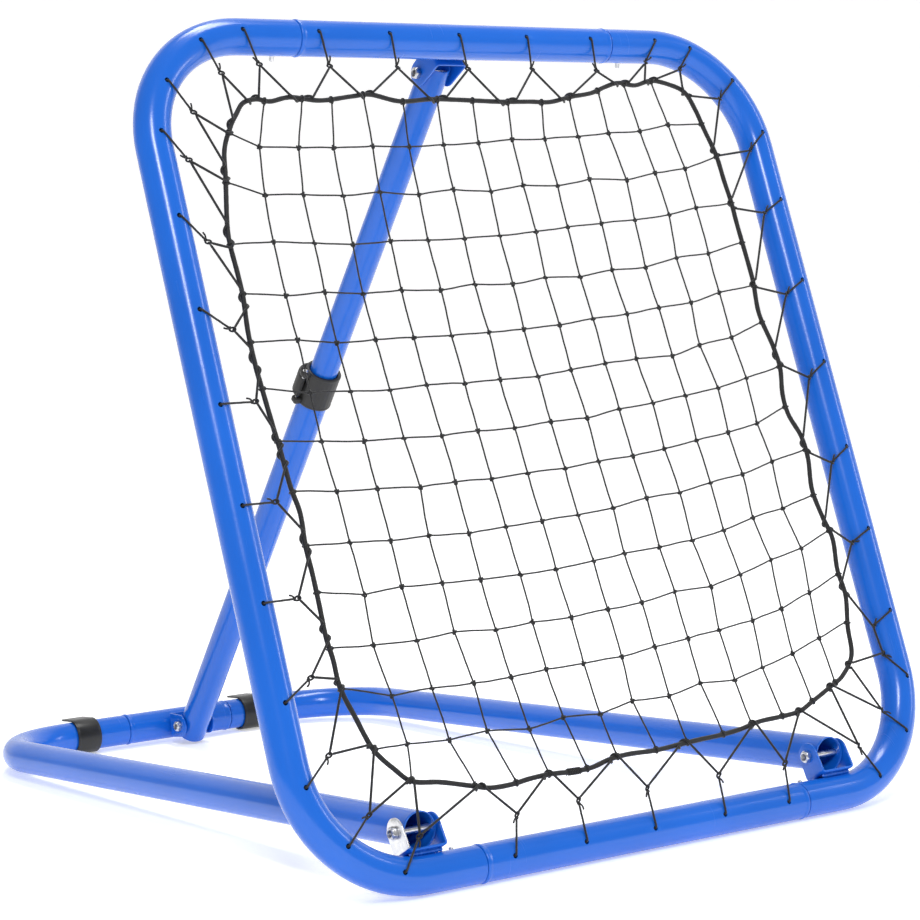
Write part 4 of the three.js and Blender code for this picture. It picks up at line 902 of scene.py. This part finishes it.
def block(piece, x0, x1, y0, y1, z0, z1, e=1.2, mat=0):
    """Moulded block with rounded edges, stacked along y."""
    P = []
    for y, inset in [(y0, e), (y0 + e * .3, e * .3), (y0 + e, 0), (y1 - e, 0), (y1 - e * .3, e * .3), (y1, e)]:
        sec = []
        for sx, szn in ((1, 1), (-1, 1), (-1, -1), (1, -1)):
            arc = [(math.cos(a), math.sin(a)) for a in np.linspace(0, math.pi / 2, 5)]
            if sx * szn < 0:
                arc = arc[::-1]
            hx, hz = (x1 - x0) / 2 - inset, (z1 - z0) / 2 - inset
            er = max(e * 1.6 - inset, .3)
            for c, d in arc:
                sec.append(((x0 + x1) / 2 + sx * (hx - er + er * c), y, (z0 + z1) / 2 + szn * (hz - er + er * d)))
        P.append(sec)
    piece.rings(np.array(P), [q[0][1] for q in P], mat=mat)


for a, b in ((CLAMP_FROM + .3, CLAMP_FROM + 6.1), (CLAMP_TO - 6.1, CLAMP_TO - .3)):
    block(p, -24.8, -15.2, a, b, -4.4, 4.4)
p.done("clamp_collar_moulding", STRUT, mat_collar, "strut_lower", "black_plastic", ["clamp_collar"])
p = Piece()
turned(p, [(CLAMP_FROM - 1.4, .3), (CLAMP_FROM - 1.2, 1.2), (CLAMP_FROM - .7, 1.55), (CLAMP_TO + .2, 1.55), (CLAMP_TO + .2, 2.4), (CLAMP_TO + .7, 2.7), (CLAMP_TO + 1.3, 2.4), (CLAMP_TO + 1.6, 1.5), (CLAMP_TO + 1.65, .3)], Y, (LUG_X, 0, 0), Z, X, n=28, wrap=False)
p.done("clamp_pin_turned", STRUT, mat_zinc, "strut_lower", "zinc", ["clamp_pin"])
# lever: a curved finger plate that lies round the collar's back
lever_mid = smooth_line([(-r * math.cos(math.radians(d)), -r * math.sin(math.radians(d))) for d, r in ((-5, 22.1), (3, 22.2), (12, 22.4), (25, 22.4), (40, 22.4), (58, 22.4), (76, 22.4), (91, 22.0))], 1.2)
line = [(a, (CLAMP_FROM + CLAMP_TO) / 2, b) for a, b in lever_mid]
tan = np.gradient(np.array(lever_mid), axis=0)
tan /= np.linalg.norm(tan, axis=1)[:, None]
nrm = [(-b, 0, a) for a, b in tan]
half = (CLAMP_TO - CLAMP_FROM) / 2 - 7.3
m = len(line)
width = [half - 2.2 * max(0, (i / m - .8) / .2) ** 2 - (1.2 if i == 0 else 0) for i in range(m)]
p = Piece()
strip(p, line, nrm, (0, 1.0, 0), width, 3.6, round_edge=1.5, n_side=5)
for k in range(5):
    i = int(m * (.62 + .075 * k))
    c, t2 = np.array(line[min(i, m - 1)]), np.array(nrm[min(i, m - 1)])
    out = t2 if t2[0] < 0 else -t2
    cord(p, np.array([c + out * 1.75 + Y * y for y in np.linspace(-half + 3, half - 3, 8)]), .5, n=8, up=(1, 0, 0))
p.done("clamp_lever_moulding", STRUT, mat_collar, "lever", "black_plastic", ["clamp_lever"])

# ---- net, rope, lacing and ties ---------------------------------------------------------------
K = np.array(NET_KNOTS)
rope2 = np.array(ROPE_PATH, float)
rope_line = smooth_line(np.column_stack([rope2, np.full(len(rope2), NET_N)]), 1.4, closed=True)
rope_s = np.concatenate([[0], np.cumsum(np.linalg.norm(np.diff(rope_line, axis=0), axis=1))])
rope_total = rope_s[-1] + np.linalg.norm(rope_line[0] - rope_line[-1])
rope_t, _, _ = frames(rope_line, closed=True)


def rope_at(s):
    """Point, tangent and outward normal on the rope's middle line, s in mm round the ring."""
    s = s % rope_total
    x = np.concatenate([rope_s, [rope_total]])
    q = np.array([np.interp(s, x, np.concatenate([rope_line[:, k], rope_line[:1, k]])) for k in range(3)])
    t = np.array([np.interp(s, x, np.concatenate([rope_t[:, k], rope_t[:1, k]])) for k in range(3)])
    t /= np.linalg.norm(t)
    o = np.cross(t, Z)
    if o @ (q * np.array([1, 1, 0])) < 0:
        o = -o
    return q, t, o / np.linalg.norm(o)


def rope_place(uv):
    d = np.linalg.norm(rope_line[:, :2] - np.array(uv), axis=1)
    return rope_s[int(np.argmin(d))]


p = Piece()
cord(p, rope_line, ROPE_R, n=16, closed=True, swell=lambda d, a: 1 + .045 * np.sin(a * 4 + d * 2 * math.pi / 10.5 * 4) * np.sin(-a * 4 + d * 2 * math.pi / 10.5 * 4))
# the ring's two ends are whipped together
s_whip = rope_place((-60, -305))
whip = []
for k in range(0, 96):
    q, t, o = rope_at(s_whip + k / 12 * 1.7)
    a = k / 12 * 2 * math.pi
    whip.append(q + (ROPE_R + .55) * (math.cos(a) * o + math.sin(a) * Z))
cord(p, whip, .6, n=6)
p.done("border_rope_braid", FRAME, mat_rope, "frame", "cord", ["border_rope"])

# twine: each bar of a mesh is a little slack and twists through the plane
threads, knots_p = Piece(), Piece()


def bar(a, b, slack=.5):
    a, b = np.array([*a, NET_N]), np.array([*b, NET_N])
    L = np.linalg.norm(b - a)
    d = (b - a) / L
    side = np.cross(Z, d)
    m = max(4, int(L / 3.6))
    u = np.linspace(0, 1, m + 1)
    w1, w2 = rng.uniform(-slack, slack), rng.uniform(-.35, .35)
    bow = np.sin(math.pi * u)
    s_curve = np.sin(2 * math.pi * u) * rng.uniform(-.25, .25)
    P = a + np.outer(u * L, d) + np.outer(bow * w1 + s_curve, side) + np.outer(bow * w2, Z)
    cord(threads, P, THREAD_R, n=8, s0=rng.uniform(0, 40), swell=lambda d, a: 1 + .07 * np.sin(a * 3 + d * 2 * math.pi / 4.2 * 3))


def knot_at(q, ang, size=2.05, r=.74, piece=None):
    """Sheet-bend knot: one bight round the other, drawn tight."""
    piece = piece or knots_p
    a = np.linspace(0, 2 * math.pi, 34, endpoint=False)
    x = (np.sin(a) + 1.35 * np.sin(2 * a)) * size * .44
    y = (np.cos(a) - 1.35 * np.cos(2 * a)) * size * .44
    z = -np.sin(3 * a) * size * .42
    c, s = math.cos(ang), math.sin(ang)
    P = np.column_stack([x * c - y * s, x * s + y * c, z]) + q
    cord(piece, P, r, n=7, closed=True, s0=rng.uniform(0, 9))
    B = []
    for b in np.linspace(0, 2 * math.pi, 22, endpoint=False):
        B.append(np.array([math.cos(b) * size * .62 * c - math.sin(b) * size * .34 * s, math.cos(b) * size * .62 * s + math.sin(b) * size * .34 * c, math.sin(b + .6) * size * .48]) + q)
    cord(piece, np.array(B), r, n=7, closed=True)


N_K = len(K)
for i in range(N_K):
    for j in range(N_K):
        if j + 1 < N_K:
            bar(K[i, j], K[i, j + 1])
        if i + 1 < N_K:
            bar(K[i, j], K[i + 1, j])
        knot_at(np.array([*K[i, j], NET_N]), rng.uniform(0, 2 * math.pi), size=rng.uniform(1.95, 2.3))
for row, ends in ((K[0], NET_END_TOP), (K[-1], NET_END_BOTTOM), (K[:, 0], NET_END_LEFT), (K[:, -1], NET_END_RIGHT)):
    for a, e in zip(row, ends):
        sr = rope_place(e)
        q, t, o = rope_at(sr)
        bar(a, (q - o * (ROPE_R + .2))[:2], slack=.35)
        hitch = []
        for k in range(0, 31):
            b = k / 30 * 1.2 * 2 * math.pi + math.pi * .8
            q2, t2, o2 = rope_at(sr + (k / 30 - .5) * 2.4)
            hitch.append(q2 + (ROPE_R + THREAD_R * .45) * (math.cos(b) * o2 + math.sin(b) * Z))
        cord(threads, hitch, THREAD_R, n=7)
        knot_at(q - o * (ROPE_R + 1.2), rng.uniform(0, 6), size=.85, r=.5)
threads.done("net_twine_bars", FRAME, mat_thread, "frame", "cord", ["net_mesh"])
knots_p.done("net_twine_knots", FRAME, mat_thread, "frame", "cord", ["net_mesh"])

# elastic lacing: from each tie's eye down to the rope, coiled along it and up to the next eye
lace = Piece()
NODE_N = NET_N + 2.2
count = len(LACING)
line = []


def leg(a, b, step=4.0):
    m = max(2, int(np.linalg.norm(b - a) / step))
    return [a + (b - a) * k / m for k in range(m)]


for i, (hole, nd, before, after) in enumerate(LACING):
    nxt = LACING[(i + 1) % count]
    here, there = np.array([*nd, NODE_N]), np.array([*nxt[1], NODE_N])
    line.append(here)
    if after is None or nxt[2] is None:
        line += leg(here, there)[1:]
        continue
    s0, s1 = rope_place(after), rope_place(nxt[2])
    span = (s1 - s0 + rope_total / 2) % rope_total - rope_total / 2
    if abs(span) < 5:
        span = 5.0 if span >= 0 else -5.0
    turns = max(1, round(abs(span) / 16))
    m = turns * 24
    q0, t0, o0 = rope_at(s0)
    radius = ROPE_R + LACE_R * .95
    phase = math.radians(65)
    coil = []
    for k in range(m + 1):
        q, t, o = rope_at(s0 + span * k / m)
        a = phase + 2 * math.pi * turns * k / m
        coil.append(q + radius * (math.cos(a) * o + math.sin(a) * Z))
    line += leg(here, coil[0])[1:]
    line += coil
    line += leg(coil[-1], there)[1:]
cord(lace, np.array(line), LACE_R, n=9, closed=True, swell=lambda d, a: 1 + .05 * np.sin(a * 3 + d * 2 * math.pi / 5.2 * 3) * np.sin(-a * 3 + d * 2 * math.pi / 5.2 * 3))
lace.done("elastic_lacing_cord", FRAME, mat_lace, "frame", "cord", ["elastic_lacing"])

# ties: up out of the hole, over the tube, a small knot, an eye round the lacing and a short tail
for i, (hole, nd, before, after) in enumerate(LACING):
    p = Piece()
    hu, hv = holes[i]
    d2 = np.array(nd) - np.array([hu, hv])
    L = np.linalg.norm(d2)
    d = np.array([*(d2 / L), 0.0])
    c = np.array([hu, hv, 0.0])
    R = TUBE_R + TIE_R + .05
    eye_r = 1.7
    end = L - eye_r - 2.6
    phi = math.atan2(NODE_N, end) + math.acos(min(.999, R / math.hypot(end, NODE_N)))
    path = [c + Z * 11.6, c + Z * (R - 2.4), c + Z * (R - 1.1) + d * .25, c + Z * (R - .35) + d * .9]
    for a in np.linspace(math.pi / 2 - .07, phi, 5):
        if a < math.pi / 2 - .05:
            path.append(c + R * (math.cos(a) * d + math.sin(a) * Z))
    tail_end = c + d * end + Z * NODE_N
    path.append(tail_end)
    side = np.cross(Z, d)
    P = smooth_line(path, 1.6)
    cord(p, P, TIE_R, n=9, swell=lambda dd, a: 1 + .05 * np.sin(a * 3 + dd * 2 * math.pi / 4.6 * 3))
    # knot inside the tube keeps the cord from pulling out
    knot_at(c + Z * 11.2, rng.uniform(0, 6), size=1.9, r=.8, piece=p)
    knot_at(c + d * (end + .6) + Z * NODE_N, rng.uniform(0, 6), size=1.2, r=.7, piece=p)
    eye_c = c + d * (L + .2) + Z * (NODE_N + .0)
    tilt = rng.uniform(-.5, .5)
    ex = d
    ey = math.cos(tilt) * side + math.sin(tilt) * Z
    # the eye stands across the lacing, seen as a small open ring from the front
    eye = [c + d * (L - eye_r * .9 + 1.0) + Z * NODE_N + ex * (math.cos(a) * eye_r * 1.15 - .2) + ey * math.sin(a) * eye_r + Z * (LACE_R + TIE_R * .6) * math.cos(a) for a in np.linspace(0, 2 * math.pi, 26, endpoint=False)]
    cord(p, np.array(eye), TIE_R * .9, n=8, closed=True)
    k = 1 if rng.random() < .5 else -1
    q = c + d * (end + .6) + Z * NODE_N
    tail = [q, q + side * k * 1.4 - d * .8 + Z * .6, q + side * k * 2.6 - d * 2.6 + Z * 1.2, q + side * k * 3.3 - d * (4.4 + rng.uniform(-.6, 1.2)) + Z * 1.4]
    cord(p, smooth_line(tail, 1.0), TIE_R * .85, n=8)
    p.done(f"lacing_tie_{i + 1:02d}", FRAME, mat_lace, "frame", "cord", ["elastic_lacing"])

# ---- floor, light and camera ----------------------------------------------------------------------
def floor_material():
    m, nt, b = start_material("pale_floor")
    obj = node(nt, "ShaderNodeTexCoord").outputs["Object"]
    tone = noise(nt, obj, 1.2, 2.0)
    nt.links.new(ramp(nt, tone, [(.3, (.93, .93, .93)), (.7, (.955, .955, .955))]), b.inputs["Base Color"])
    b.inputs["Roughness"].default_value = .9
    b.inputs["Specular IOR Level"].default_value = .1
    b.inputs["Emission Color"].default_value = (1, 1, 1, 1)
    b.inputs["Emission Strength"].default_value = FLOOR_GLOW
    return m


FLOOR_GLOW = .44
prof = [(-14.0, 0.0)] + [(6.5, 0.0)] + [(6.5 + 3 * math.sin(a), 3 - 3 * math.cos(a)) for a in np.radians(np.arange(9, 91, 9))] + [(9.5, 14.0)]
verts, faces = [], []
for y, z in prof:
    verts += [(-16.0, y, z - .0006), (16.0, y, z - .0006)]
for i in range(len(prof) - 1):
    faces.append((2 * i, 2 * i + 1, 2 * i + 3, 2 * i + 2))
fm = bpy.data.meshes.new("studio_floor")
fm.from_pydata(verts, [], faces)
fm.polygons.foreach_set("use_smooth", np.ones(len(fm.polygons), bool))
fm.materials.append(floor_material())
floor = bpy.data.objects.new("studio_floor", fm)
floor.rotation_euler = (0, 0, -.62)
bpy.context.scene.collection.objects.link(floor)

world = bpy.data.worlds.new("studio")
world.use_nodes = True
bpy.context.scene.world = world
world.node_tree.nodes["Background"].inputs["Color"].default_value = (1.0, 1.0, 1.0, 1.0)
world.node_tree.nodes["Background"].inputs["Strength"].default_value = .40


def area(name, at, look, size, power, colour=(1, 1, 1)):
    d = bpy.data.lights.new(name, "AREA")
    d.shape, d.size, d.size_y, d.energy, d.color = "RECTANGLE", size[0], size[1], power, colour
    o = bpy.data.objects.new(name, d)
    o.location = at
    o.rotation_euler = (Vector(look) - Vector(at)).to_track_quat("-Z", "Y").to_euler()
    bpy.context.scene.collection.objects.link(o)
    return o


area("key_softbox", (-2.2, -3.2, 3.4), (0, 0, .35), (.85, 1.6), 100)
area("top_softbox", (.6, .2, 3.4), (0, 0, .3), (1.8, .7), 50)
area("side_strip", (3.2, -1.8, 1.6), (0, 0, .4), (.3, 2.2), 20)

cam_data = bpy.data.cameras.new("camera")
cam = bpy.data.objects.new("camera", cam_data)
bpy.context.scene.collection.objects.link(cam)
bpy.context.scene.camera = cam
AZ, EL, ROLL = .6204, .0656, -.039
right0, fh, up_z = Vector((math.cos(AZ), -math.sin(AZ), 0)), Vector((math.sin(AZ), math.cos(AZ), 0)), Vector((0, 0, 1))
fwd = math.cos(EL) * fh - math.sin(EL) * up_z
up0 = math.sin(EL) * fh + math.cos(EL) * up_z
right = math.cos(ROLL) * right0 + math.sin(ROLL) * up0
up = -math.sin(ROLL) * right0 + math.cos(ROLL) * up0
m = Matrix.Identity(4)
for r in range(3):
    m[r][0], m[r][1], m[r][2] = right[r], up[r], -fwd[r]
m[0][3], m[1][3], m[2][3] = -1.43068, -2.14177, .49254
cam.matrix_world = m
cam_data.sensor_width = 36.0
cam_data.lens = 2651.75 / 920 * 36.0
cam_data.shift_x, cam_data.shift_y = (460 - 448.69) / 920, (455.0 - 460) / 920
cam_data.clip_start, cam_data.clip_end = .01, 60.0
bpy.context.scene.view_settings.view_transform = "Standard"
